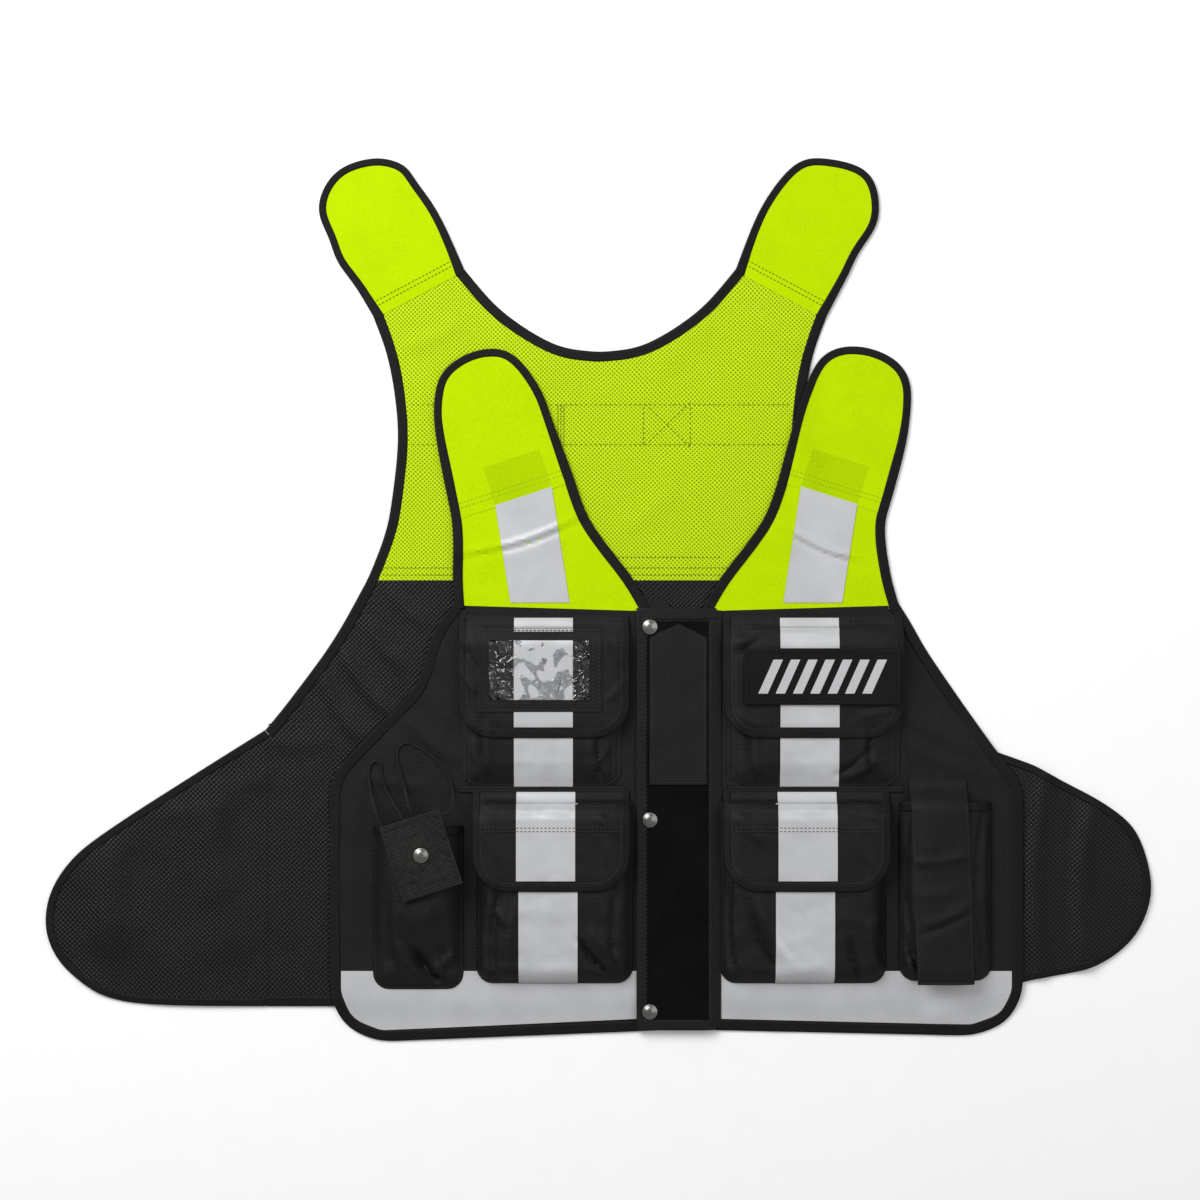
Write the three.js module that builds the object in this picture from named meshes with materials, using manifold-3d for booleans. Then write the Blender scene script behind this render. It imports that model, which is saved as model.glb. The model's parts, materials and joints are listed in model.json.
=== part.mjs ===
// High visibility vest laid flat: the back lies underneath with its shoulder straps and side wings
// spread, and the closed front lies on top of it. Millimetres, +Z up out of the front face,
// +Y towards the shoulders. "Left" and "right" are as seen by someone who looks at the front.
import * as THREE from "three";
import { mergeVertices } from "three/addons/utils/BufferGeometryUtils.js";
import Module from "manifold-3d";

const wasm = await Module();
wasm.setup();

// ---- driving dimensions ----

// cloth, trim and clearances
const gap = 0.3;
const backThick = 1.5;
const clothThick = 1.2;
const bindingWidth = 9;
const bindingProud = 0.3;
const tapeThick = 0.4;
const tapeWidth = 50;
const hookThick = 0.8;
const hookWidth = 38;
const hookInset = 4;
const hookEndMargin = 25;

// back panel
const backHalfWidth = 285;
const yokeSeamY = 365;
const wingSeamTopY = 235;
const neckDepthY = 557;
const strapSeamInner = [116, 628];
const strapSeamOuter = [193, 587];
const armholeNarrow = 172;
const armholeNarrowY = 480;
const yokeSeamHalf = 197;
const strapReach = 122;
const strapLean = { left: 0, right: -7 };
const bandWidth = 38;
const bandThick = 0.6;
const bandY = 495;

// side wings
const wingReach = 187;
const foldClear = 10;
const foldTopY = 205;
const foldBottomY = 23;
const foldedWingReach = 99;

// front halves, measured out from the front centre line
const frontCentreX = 65;
const frontHalfWidth = 295;
const hemY = -20;
const leftHemDrop = 10;
const rightHemDrop = 5;
const waistY = 338;
const waistRise = 5;
const waistHalf = 189;
const sideTopY = 190;
const sideFootY = 21;
const hemCornerWidth = 42;
const leftCentreEdge = 3.4;
const rightCentreEdge = 22;
const yokeNeckHalf = 22;
const frontSeamInner = [87, 449];
const frontSeamOuter = { left: [191, 415], right: [180, 420] };
const frontStrapReach = 128;

// pockets
const pocketWall = 1.2;
const pocketCornerRadius = 14;
const pocketFromCentre = 37;
const sidePocketMargin = { left: 37, right: 27 };
const sidePocketWidth = { left: 77, right: 79 };
const sidePocketSpacing = 11;
const upperPocketInset = 10;
const upperPocketExtra = 12;
const upperPocketBottomY = 187;
const upperPocketHeight = 136;
const upperPocketDepth = 9;
const lowerPocketBottomY = 20;
const lowerPocketHeight = 154;
const lowerPocketDepth = 14;
const radioPocketBottomY = 15;
const radioPocketHeight = 139;
const radioPocketDepth = 22;
const torchPouchBottomY = 22;
const torchPouchHeight = 152;
const torchPouchDepth = 16;
const tapeFromCentre = 88;
const lowerPocketTapeShift = -4;
const lowerFlapTapeShift = -2;
const yokeTapeShift = 3;
const yokeTapeTop = 19;
const yokeTapeTaper = 2;
const hemTapeStart = 28;
const hemTapeTurn = 12;

// pocket flaps, window and badge
const flapOverhang = 3;
const flapBelowWaist = 7;
const flapCornerRadius = 30;
const upperFlapHeight = 102;
const lowerFlapHeight = 84;
const lowerFlapTopY = 183;
const windowWidth = 87.5;
const windowHeight = 53;
const windowBorder = 9;
const windowTopGap = 9;
const windowOutward = 4;
const windowThick = 0.5;
const badgeWidth = 133;
const badgeHeight = 48;
const badgeThick = 2;
const badgeTopGap = 26;
const badgeOutward = 7;
const torchFlapInset = 8;
const torchFlapWidth = 50;
const torchFlapLength = 173;
const torchFlapTopY = 192;
const torchFlapLean = 6;

// centre closure and press studs
const closureHalfWidth = 33;
const closureHinge = 31;
const closureHemRise = 1;
const snapFromCentre = -22.5;
const snapRadius = 7;
const snapHeight = 3;
const snapNeckRadius = 1.6;
const snapRim = 0.6;
const snapPlate = 0.4;
const snapPlateRadius = 4;
const snapTopDrop = 15;
const snapMiddleY = 159;
const snapBottomRise = 16;
const tabWidth = 49;
const tabBottomY = 189;
const tabTopGap = 12;
const tabPoint = 12;
const tabFromHinge = 5;

// radio strap: webbing pad, press stud and elastic cord
const padWidth = 52;
const padLength = 66;
const padThick = 2;
const padTurn = THREE.MathUtils.degToRad(18);
const padFromSide = 79;
const padY = 130.5;
const cordDiameter = 2;
const cordSteps = 44;

// ---- levels, from the ground up ----

const backTop = backThick;
const hookBase = backTop + gap;
const frontBase = Math.max(hookBase + hookThick, backTop + bindingProud) + gap;
const frontTop = frontBase + clothThick;
const trimBase = frontTop + gap;
const overTape = trimBase + tapeThick + gap;
const closureBase = trimBase + 2 * (snapPlate + gap);
const closureTop = closureBase + clothThick;

// ---- colours and finishes ----

const limeCloth = () => finish("#bfe000", 0.75);
const limeMesh = () => finish("#c4dd18", 0.8);
const blackMesh = () => finish("#232323", 0.85);
const blackCloth = () => finish("#2b2b2b", 0.8);
const binding = () => finish("#20201c", 0.7);
const reflectiveTape = () => finish("#cacbcd", 0.4, 0.2);
const hookPile = () => finish("#161616", 0.95);
const webbing = () => finish("#3b3a36", 0.7);
const clearFilm = () => finish("#d9dde0", 0.15);
const gunmetal = () => finish("#7a7a78", 0.3, 0.9);

function finish(color, roughness, metalness = 0) {
  return new THREE.MeshStandardMaterial({ color, roughness, metalness });
}

// ---- building tools ----

const vest = new THREE.Group();

function node(name, geometry, material) {
  const mesh = new THREE.Mesh(geometry, material);
  mesh.name = name;
  vest.add(mesh);
  return mesh;
}

const point = ([x, y]) => new THREE.Vector2(x, y);

// A smooth run through a few points, ends included.
function smooth(points, stepsPerSpan = 4) {
  const spans = points.length - 1;
  return new THREE.SplineCurve(points.map(point)).getPoints(spans * stepsPerSpan).map((p) => [p.x, p.y]);
}

// Points between two corners, each given as its share of the way across and its share of the way up.
function between([ax, ay], [bx, by], shares) {
  return shares.map(([fx, fy]) => [ax + (bx - ax) * fx, ay + (by - ay) * fy]);
}

const mirrored = (points) => points.map(([x, y]) => [-x, y]);

const heading = (a, b) => point(b).sub(point(a)).normalize();

// An open run moved sideways, to its left as it is walked, with its corners kept sharp.
function besideRun(points, distance) {
  return points.map((p, i) => {
    const into = i > 0 ? heading(points[i - 1], p) : heading(p, points[1]);
    const away = i < points.length - 1 ? heading(p, points[i + 1]) : into;
    const along = into.clone().add(away).normalize();
    const reach = distance / along.dot(into);
    return [p[0] - along.y * reach, p[1] + along.x * reach];
  });
}

// The outline's corners, turned to run counter-clockwise.
function counterClockwise(outline) {
  const corners = outline.map(point);
  return THREE.ShapeUtils.area(corners) < 0 ? corners.reverse() : corners;
}

// Where a run that falls as it goes crosses a height, and what lies above or below that height.
function crossing(run, y) {
  const next = run.findIndex((p) => p[1] < y);
  const [a, b] = [run[next - 1], run[next]];
  const share = (a[1] - y) / (a[1] - b[1]);
  return { next, at: [a[0] + (b[0] - a[0]) * share, y] };
}

function above(run, y) {
  const { next, at } = crossing(run, y);
  return [...run.slice(0, next), at];
}

function below(run, y) {
  const { next, at } = crossing(run, y);
  return [at, ...run.slice(next)];
}

function slab(outline, base, thick, holes = []) {
  const shape = new THREE.Shape(counterClockwise(outline));
  for (const hole of holes) shape.holes.push(new THREE.Path(counterClockwise(hole)));
  const solid = new THREE.ExtrudeGeometry(shape, { depth: thick, bevelEnabled: false, curveSegments: 6 });
  return solid.translate(0, 0, base);
}

// A strip of even width along a run, on the run's left.
function strip(run, width, base, thick) {
  return slab([...run, ...besideRun(run, width).reverse()], base, thick);
}

function rectangle(x0, y0, x1, y1) {
  return [[x0, y0], [x1, y0], [x1, y1], [x0, y1]];
}

// A rectangle with its two lower corners rounded.
function apron(x0, y0, x1, y1, radius) {
  const r = Math.min(radius, (x1 - x0) / 2.2, (y1 - y0) / 2.2);
  return [[x0, y1], ...arc(x0 + r, y0 + r, r, 180, 270), ...arc(x1 - r, y0 + r, r, 270, 360), [x1, y1]];
}

function arc(cx, cy, r, from, to, steps = 6) {
  return Array.from({ length: steps + 1 }, (_, i) => {
    const a = THREE.MathUtils.degToRad(from + ((to - from) * i) / steps);
    return [cx + r * Math.cos(a), cy + r * Math.sin(a)];
  });
}

const circle = (cx, cy, r) => arc(cx, cy, r, 0, 337.5, 15);

function manifoldOf(geometry) {
  const bare = geometry.clone();
  bare.deleteAttribute("normal");
  bare.deleteAttribute("uv");
  const merged = mergeVertices(bare, 1e-4);
  return new wasm.Manifold(
    new wasm.Mesh({
      numProp: 3,
      vertProperties: merged.attributes.position.array,
      triVerts: new Uint32Array(merged.index.array),
    }),
  );
}

function geometryOf(solid) {
  const mesh = solid.getMesh();
  return new THREE.BufferGeometry()
    .setAttribute("position", new THREE.BufferAttribute(mesh.vertProperties, 3))
    .setIndex(new THREE.BufferAttribute(mesh.triVerts, 1));
}

const cut = (geometry, tool) => geometryOf(manifoldOf(geometry).subtract(manifoldOf(tool)));

// ---- back panel ----

const backArmEdge = smooth([
  strapSeamOuter,
  ...between(strapSeamOuter, [armholeNarrow, armholeNarrowY], [[0.52, 0.28], [0.86, 0.61]]),
  [armholeNarrow, armholeNarrowY],
  ...between([armholeNarrow, armholeNarrowY], [yokeSeamHalf, yokeSeamY], [[0.24, 0.48], [0.5, 0.72]]),
  [yokeSeamHalf, yokeSeamY],
]);
const backWaistEdge = smooth([
  [yokeSeamHalf, yokeSeamY],
  ...between([yokeSeamHalf, yokeSeamY], [backHalfWidth, wingSeamTopY], [[0.34, 0.41], [0.76, 0.8]]),
  [backHalfWidth, wingSeamTopY],
]);
const backOuterEdge = [...backArmEdge, ...backWaistEdge.slice(1)];
const neckEdge = smooth([
  ...between([0, neckDepthY], strapSeamInner, [[0, 0], [0.33, 0.09], [0.72, 0.49]]),
  strapSeamInner,
]);

const bindingRoom = bindingWidth + gap;

function backYoke() {
  const arm = above(besideRun(backOuterEdge, -bindingRoom), yokeSeamY + gap / 2);
  const half = [...endLowered(besideRun(neckEdge, -bindingRoom)), ...startLowered(arm)];
  const plate = slab([...mirrored(half).reverse(), ...half.slice(1)], 0, backThick);
  const grooveHalf = bandWidth / 2 + gap;
  const reach = backHalfWidth;
  const grooveOutline = rectangle(-reach, bandY - grooveHalf, reach, bandY + grooveHalf);
  const groove = slab(grooveOutline, -1, 1 + bandThick + gap);
  return cut(plate, groove);
}

// The yoke stops just short of the strap seams.
const endLowered = (run) => [...run.slice(0, -1), [run.at(-1)[0], run.at(-1)[1] - gap]];
const startLowered = (run) => [[run[0][0], run[0][1] - gap], ...run.slice(1)];

function backBody() {
  const waist = below(besideRun(backOuterEdge, -bindingRoom), yokeSeamY - gap / 2);
  const side = backHalfWidth - gap / 2;
  const half = [...waist, [side, waist.at(-1)[1]], [side, bindingRoom]];
  return slab([...mirrored(half).reverse(), ...half], 0, backThick);
}

function backBand() {
  const reach = armholeNarrow - bindingRoom - gap;
  return slab(rectangle(-reach, bandY - bandWidth / 2, reach, bandY + bandWidth / 2), 0, bandThick);
}

function backStrap(side) {
  const [ix, iy] = strapSeamInner;
  const [ox, oy] = strapSeamOuter;
  const seam = point(strapSeamOuter).sub(point(strapSeamInner));
  const out = new THREE.Vector2(-seam.y, seam.x).normalize().multiplyScalar(strapReach);
  const across = (share, reach) => {
    const x = ix + seam.x * share + out.x * reach + strapLean[side] * reach;
    return [x, iy + seam.y * share + out.y * reach];
  };
  const edge = smooth([
    [ix, iy],
    across(-0.03, 0.48),
    across(0.1, 0.87),
    across(0.38, 1),
    across(0.72, 1),
    across(1.03, 0.82),
    across(1.09, 0.55),
    across(1.02, 0.26),
    [ox, oy],
  ]);
  return edge.map(([x, y]) => [x, y + gap]);
}

// Shares of a wing's reach and of its height at the root, from the top of the root round to its foot.
const wingShares = {
  left: [
    [0, 1], [0.32, 0.84], [0.69, 0.65], [0.88, 0.53], [0.985, 0.39],
    [0.985, 0.24], [0.87, 0.11], [0.62, 0.015], [0, 0],
  ],
  right: [
    [0, 1], [0.23, 0.93], [0.63, 0.81], [0.88, 0.68], [1, 0.45],
    [0.93, 0.27], [0.75, 0.14], [0.46, 0.05], [0, 0],
  ],
};

function wingOutline(side, rootX, topY, footY, reach) {
  return smooth(between([rootX, footY], [rootX + reach, topY], wingShares[side]), 3);
}

function wingRoot(foldX) {
  const top = [[backHalfWidth + gap / 2, wingSeamTopY], [foldX - gap / 2, foldTopY]];
  const foot = [[foldX - gap / 2, foldBottomY], [backHalfWidth + gap / 2, 0]];
  return slab([...top, ...foot], 0, backThick);
}

function buildBack() {
  const bindingThick = backThick + bindingProud;
  node("back_yoke", backYoke(), limeMesh());
  node("back_body", backBody(), blackMesh());
  node("back_webbing_band", backBand(), webbing());
  const neckRun = [...mirrored(neckEdge).reverse(), ...neckEdge.slice(1)];
  node("back_neck_binding", strip(neckRun, -bindingWidth, 0, bindingThick), binding());
  node("back_arm_binding_right", strip(backOuterEdge, -bindingWidth, 0, bindingThick), binding());
  node("back_arm_binding_left", strip(mirrored(backOuterEdge), bindingWidth, 0, bindingThick), binding());
  const hem = rectangle(-backHalfWidth + gap, 0, backHalfWidth - gap, bindingWidth);
  node("back_hem_binding", slab(hem, 0, bindingThick), binding());
  node("back_strap_right", slab(backStrap("right"), 0, backThick), limeCloth());
  node("back_strap_left", slab(mirrored(backStrap("left")), 0, backThick), limeCloth());
}

function buildWings() {
  const foldX = frontCentreX + frontHalfWidth + foldClear;
  const left = mirrored(wingOutline("left", backHalfWidth + gap, wingSeamTopY, 0, wingReach));
  node("wing_left", slab(left, 0, backThick), blackMesh());
  node("wing_right_root", wingRoot(foldX), blackMesh());
  const right = wingOutline("right", foldX + gap, foldTopY, foldBottomY, foldedWingReach);
  node("wing_right", slab(right, 0, backThick), blackMesh());
}

// ---- front halves: every outline is drawn for the right side, out from the front centre line ----

const armholeShares = {
  left: [[0.17, 0.16], [0.3, 0.45], [0.5, 0.6], [0.74, 0.77], [0.94, 0.92]],
  right: [[0.11, 0.12], [0.24, 0.28], [0.66, 0.7], [0.84, 0.87]],
};

// The armhole edge, the side, the rounded corner and the hem, walked from the waist to the centre.
function outerEdge(side) {
  const waistEnd = [waistHalf, waistY + waistRise];
  const sideTop = [frontHalfWidth, sideTopY];
  const drop = side === "left" ? leftHemDrop : rightHemDrop;
  const cornerShares = [[0, 0], [0.05, 0.3], [0.35, 0.75], [1, 1]];
  const cornerEnd = [frontHalfWidth - hemCornerWidth, hemY - drop];
  const corner = between([frontHalfWidth, sideFootY], cornerEnd, cornerShares);
  return [
    ...smooth([waistEnd, ...between(waistEnd, sideTop, armholeShares[side]), sideTop], 3),
    ...smooth(corner, 4),
    [centreEdge(side), hemY],
  ];
}

const centreEdge = (side) => (side === "left" ? leftCentreEdge : rightCentreEdge);

// Moves an outline of the right side onto the wanted half.
function onHalf(side, outline) {
  const turn = side === "left" ? -1 : 1;
  return outline.map(([x, y]) => [frontCentreX + turn * x, y]);
}

function frontPanel(side) {
  const edge = besideRun(outerEdge(side), -bindingRoom);
  edge[edge.length - 1] = [centreEdge(side), hemY + bindingRoom];
  return onHalf(side, [...edge, [centreEdge(side), waistY - gap]]);
}

function frontBinding(side) {
  const run = outerEdge(side);
  return onHalf(side, [...run, ...besideRun(run, -bindingWidth).reverse()]);
}

function frontYoke(side) {
  const neckShares = [[0, 0], [0.17, 0.28], [0.42, 0.5], [0.76, 0.76], [1, 1]];
  const neck = smooth(between(frontSeamInner, [yokeNeckHalf, waistY + gap], neckShares));
  const seamOuter = frontSeamOuter[side];
  const waistEnd = [waistHalf, waistY + waistRise + gap];
  const arm = smooth([waistEnd, ...between(waistEnd, seamOuter, [[0.6, 0.3], [0.4, 0.7]]), seamOuter]);
  return onHalf(side, [...neck, ...arm]);
}

// Shares of the strap seam's length and of the strap's reach, from the neck end round the tip.
const strapShares = {
  left: [
    [0, 0], [0.02, 0.4], [0.03, 0.62], [0.1, 0.83], [0.19, 0.95], [0.33, 1], [0.46, 1.01],
    [0.6, 0.99], [0.755, 0.917], [0.868, 0.734], [0.92, 0.553], [0.96, 0.31], [1, 0],
  ],
  right: [
    [0, 0], [-0.02, 0.4], [-0.015, 0.62], [0.02, 0.82], [0.12, 0.93], [0.28, 0.99], [0.47, 1.01],
    [0.67, 0.985], [0.8, 0.92], [0.885, 0.81], [0.955, 0.58], [0.985, 0.36], [1, 0],
  ],
};

function frontStrap(side) {
  const seam = point(frontSeamOuter[side]).sub(point(frontSeamInner));
  const away = new THREE.Vector2(-seam.y, seam.x).setLength(frontStrapReach);
  const edge = strapShares[side].map(([share, reach]) => [
    frontSeamInner[0] + seam.x * share + away.x * reach,
    frontSeamInner[1] + seam.y * share + away.y * reach + gap,
  ]);
  return onHalf(side, smooth(edge, 3));
}

function yokeTape(side) {
  const seam = point(frontSeamOuter[side]).sub(point(frontSeamInner));
  const slope = seam.y / seam.x;
  const seamY = (x) => frontSeamInner[1] + (x - frontSeamInner[0]) * slope - 2 * gap;
  const top = frontSeamInner[0] + yokeTapeTop;
  const topEnd = top + tapeWidth - yokeTapeTaper;
  const foot = tapeFromCentre + yokeTapeShift;
  const footY = waistY + waistRise + 2 * gap;
  return onHalf(side, [[foot, footY], [foot + tapeWidth, footY], [topEnd, seamY(topEnd)], [top, seamY(top)]]);
}

function hemTape(side) {
  const x0 = hemTapeStart;
  const run = besideRun(outerEdge(side), -(bindingRoom + gap));
  const topY = hemY + bindingRoom + tapeWidth - bindingWidth;
  const lower = run.filter(([x, y]) => y < topY - hemTapeTurn && x > x0);
  return onHalf(side, [[lower[0][0], topY], ...lower, [x0, hemY + bindingRoom + gap], [x0, topY]]);
}

// ---- pockets: a front wall with three sides, open at its top; the panel is its back wall ----

function pocketShell(side, x0, x1, bottomY, height, base, depth) {
  const outer = slab(onHalf(side, apron(x0, bottomY, x1, bottomY + height, pocketCornerRadius)), base, depth);
  const w = pocketWall;
  const room = apron(x0 + w, bottomY + w, x1 - w, bottomY + height + 5, pocketCornerRadius - w);
  return cut(outer, slab(onHalf(side, room), base - 1, depth + 1 - w));
}

function flapPlate(side, x0, x1, topY, height, base) {
  const outline = apron(x0, topY - height, x1, topY, flapCornerRadius);
  return slab(onHalf(side, outline), base, clothThick);
}

function straightTape(side, x0, y0, y1, base) {
  return slab(onHalf(side, rectangle(x0, y0, x0 + tapeWidth, y1)), base, tapeThick);
}

// The radio pocket on the left half, the torch pouch on the right one.
function sidePocketSpan(side) {
  const end = frontHalfWidth - sidePocketMargin[side];
  return [end - sidePocketWidth[side], end];
}

// A lower pocket ends beside the side pocket; the upper one above it reaches a little further.
const lowerPocketEnd = (side) => sidePocketSpan(side)[0] - sidePocketSpacing;
const upperPocketEnd = (side) => lowerPocketEnd(side) + upperPocketExtra;

function buildPocketPair(side) {
  const upperStart = pocketFromCentre + upperPocketInset;
  const upperSize = [upperPocketBottomY, upperPocketHeight, trimBase, upperPocketDepth];
  const upper = pocketShell(side, upperStart, upperPocketEnd(side), ...upperSize);
  node(`${side}_upper_pocket`, upper, blackCloth());
  const upperTop = trimBase + upperPocketDepth;
  const tapeTopY = upperPocketBottomY + upperPocketHeight - gap;
  const upperTape = straightTape(side, tapeFromCentre, upperPocketBottomY + gap, tapeTopY, upperTop + gap);
  node(`${side}_upper_pocket_tape`, upperTape, reflectiveTape());

  const lowerSize = [lowerPocketBottomY, lowerPocketHeight, overTape, lowerPocketDepth];
  const lower = pocketShell(side, pocketFromCentre, lowerPocketEnd(side), ...lowerSize);
  node(`${side}_lower_pocket`, lower, blackCloth());
  const lowerTop = overTape + lowerPocketDepth;
  const lowerTapeX = tapeFromCentre + lowerPocketTapeShift;
  const lowerTapeTop = lowerPocketBottomY + lowerPocketHeight - gap;
  const lowerTape = straightTape(side, lowerTapeX, lowerPocketBottomY + gap, lowerTapeTop, lowerTop + gap);
  node(`${side}_lower_pocket_tape`, lowerTape, reflectiveTape());
  return { upperFlapBase: upperTop + 2 * gap + tapeThick, lowerFlapBase: lowerTop + 2 * gap + tapeThick };
}

function buildFlaps(side, { upperFlapBase, lowerFlapBase }) {
  const x0 = pocketFromCentre + flapOverhang;
  const upperTopY = waistY - flapBelowWaist;
  const upperEnd = upperPocketEnd(side) + flapOverhang;
  const upper = flapPlate(side, x0, upperEnd, upperTopY, upperFlapHeight, upperFlapBase);
  node(`${side}_upper_flap`, upper, blackCloth());
  const tapeFoot = upperTopY - upperFlapHeight + bindingWidth;
  const tapeBase = upperFlapBase + clothThick + gap;
  const upperTape = straightTape(side, tapeFromCentre, tapeFoot, upperTopY - gap, tapeBase);
  node(`${side}_upper_flap_tape`, upperTape, reflectiveTape());

  const lowerEnd = lowerPocketEnd(side) + flapOverhang;
  const lower = flapPlate(side, x0, lowerEnd, lowerFlapTopY, lowerFlapHeight, lowerFlapBase);
  node(`${side}_lower_flap`, lower, blackCloth());
  const foot = lowerFlapTopY - lowerFlapHeight + bindingWidth;
  const tapeX = tapeFromCentre + lowerFlapTapeShift;
  const lowerTape = straightTape(side, tapeX, foot, lowerFlapTopY - gap, lowerFlapBase + clothThick + gap);
  node(`${side}_lower_flap_tape`, lowerTape, reflectiveTape());
  return { middle: (x0 + upperEnd) / 2, top: upperTopY, base: tapeBase + tapeThick + gap };
}

// ---- fittings of the left half ----

function buildIdWindow({ middle, top, base }) {
  const y1 = top - windowTopGap;
  const y0 = y1 - windowHeight - 2 * windowBorder;
  const x0 = middle + windowOutward - windowWidth / 2 - windowBorder;
  const x1 = x0 + windowWidth + 2 * windowBorder;
  const b = windowBorder;
  const frame = rectangle(x0, y0, x1, y1);
  const light = rectangle(x0 + b, y0 + b, x1 - b, y1 - b);
  const border = slab(onHalf("left", frame), base, clothThick, [onHalf("left", light)]);
  node("id_window_frame", border, blackCloth());
  const film = rectangle(x0 + b + gap, y0 + b + gap, x1 - b - gap, y1 - b - gap);
  node("id_window", slab(onHalf("left", film), base, windowThick), clearFilm());
}

function buildRadioPocket() {
  const [x0, x1] = sidePocketSpan("left");
  const size = [radioPocketBottomY, radioPocketHeight, overTape, radioPocketDepth];
  node("radio_pocket", pocketShell("left", x0, x1, ...size), blackCloth());
  buildRadioPad(overTape + radioPocketDepth + gap);
}

function buildRadioPad(base) {
  const cx = frontCentreX - (frontHalfWidth - padFromSide);
  const hole = circle(0, 0, snapNeckRadius + gap);
  const outline = rectangle(-padWidth / 2, -padLength / 2, padWidth / 2, padLength / 2);
  const plate = slab(outline, 0, padThick, [hole]);
  const pad = node("radio_pad", plate, webbing());
  pad.position.set(cx, padY, base);
  pad.rotation.z = padTurn;
  const cap = node("radio_snap_cap", plainCap(padThick), gunmetal());
  cap.position.set(cx, padY, base + padThick);
  buildRadioLoops(base + padThick / 2);
}

// Both loops leave the top edge of the pad and come back to its top and side; z is the height of the cord's middle.
function buildRadioLoops(padMiddle) {
  const low = frontTop + gap + cordDiameter / 2;
  const long = [
    [-158.6, 163.4, padMiddle], [-160.3, 168.5, padMiddle], [-163, 177, padMiddle - 7], [-166, 187, low + 4],
    [-169, 198, low + 1], [-172.2, 210, low], [-171.8, 219, low], [-166, 223.8, low], [-157.3, 221.9, low],
    [-143.7, 213.4, low], [-133, 203, low], [-127, 192, low + 1], [-124.8, 182, low + 5],
    [-124.4, 174.5, padMiddle - 9], [-125.6, 169.5, padMiddle - 2], [-129, 166.2, padMiddle],
    [-134.1, 164.4, padMiddle],
  ];
  const short = [
    [-184.6, 154.9, padMiddle], [-186.8, 160.5, padMiddle], [-188.8, 166, padMiddle - 1], [-193.3, 178, low + 7],
    [-195.8, 192, low + 1], [-196, 202, low], [-193.8, 207.4, low], [-189.9, 208.6, low], [-186.4, 205.5, low],
    [-185.2, 198, low], [-183, 188, low + 2], [-178, 178, low + 6], [-172, 169.5, padMiddle - 4],
    [-168.6, 164.5, padMiddle], [-166.8, 160.7, padMiddle],
  ];
  node("radio_loop_long", cordSolid(long), binding());
  node("radio_loop_short", cordSolid(short), binding());
}

function cordSolid(points) {
  const route = new THREE.CatmullRomCurve3(points.map((p) => new THREE.Vector3(...p)));
  const section = new THREE.Shape(arc(0, 0, cordDiameter / 2, 0, 315, 7).map(point));
  return new THREE.ExtrudeGeometry(section, { steps: cordSteps, extrudePath: route });
}

// ---- fittings of the right half ----

function buildBadge({ middle, top, base }) {
  const x0 = middle + badgeOutward - badgeWidth / 2;
  const y1 = top - badgeTopGap;
  const plate = slab(onHalf("right", rectangle(x0, y1 - badgeHeight, x0 + badgeWidth, y1)), base, badgeThick);
  node("name_badge", plate, blackCloth());
}

function buildTorchPouch() {
  const [x0, x1] = sidePocketSpan("right");
  const pouch = pocketShell("right", x0, x1, torchPouchBottomY, torchPouchHeight, overTape, torchPouchDepth);
  node("torch_pouch", pouch, blackCloth());
  const start = x0 + torchFlapInset;
  const end = start + torchFlapWidth;
  const footY = torchFlapTopY - torchFlapLength;
  const foot = [[start + torchFlapLean, footY], [end + torchFlapLean, footY]];
  const outline = [...foot, [end, torchFlapTopY], [start, torchFlapTopY]];
  const base = overTape + torchPouchDepth + gap;
  node("torch_flap", slab(onHalf("right", outline), base, clothThick), blackCloth());
}

// ---- centre closure and its press studs ----

const snapRows = () => ({
  top: waistY - snapTopDrop,
  middle: snapMiddleY,
  bottom: hemY + snapBottomRise,
});

// The domed top of a press stud, from its underside's neck round to its crown.
function capDome() {
  const r = snapRadius;
  return [
    [snapNeckRadius, gap],
    [r - snapRim, gap],
    [r, gap + snapRim],
    [r * 0.92, gap + snapHeight * 0.45],
    [r * 0.62, gap + snapHeight * 0.85],
    [0, gap + snapHeight],
  ];
}

// A cap whose neck ends flush with the underside of its cloth.
function plainCap(clothDepth) {
  return turned([[0, -clothDepth], [snapNeckRadius, -clothDepth], ...capDome()]);
}

// A cap whose neck ends in the disc that closes it below the cloth.
function platedCap(clothDepth) {
  const plateTop = -clothDepth - gap;
  const plateFoot = plateTop - snapPlate;
  const plate = [[0, plateFoot], [snapPlateRadius, plateFoot], [snapPlateRadius, plateTop]];
  return turned([...plate, [snapNeckRadius, plateTop], ...capDome()]);
}

function turned(profile) {
  return new THREE.LatheGeometry(profile.map(point), 20).rotateX(Math.PI / 2);
}

function studSolid() {
  return turned([
    [0, -clothThick],
    [snapNeckRadius, -clothThick],
    [snapNeckRadius, gap],
    [snapPlateRadius, gap],
    [snapPlateRadius, gap + snapPlate],
    [0, gap + snapPlate],
  ]);
}

const snapX = frontCentreX + snapFromCentre;
const snapHoles = () => Object.values(snapRows()).map((y) => circle(snapX, y, snapNeckRadius + gap));

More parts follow.
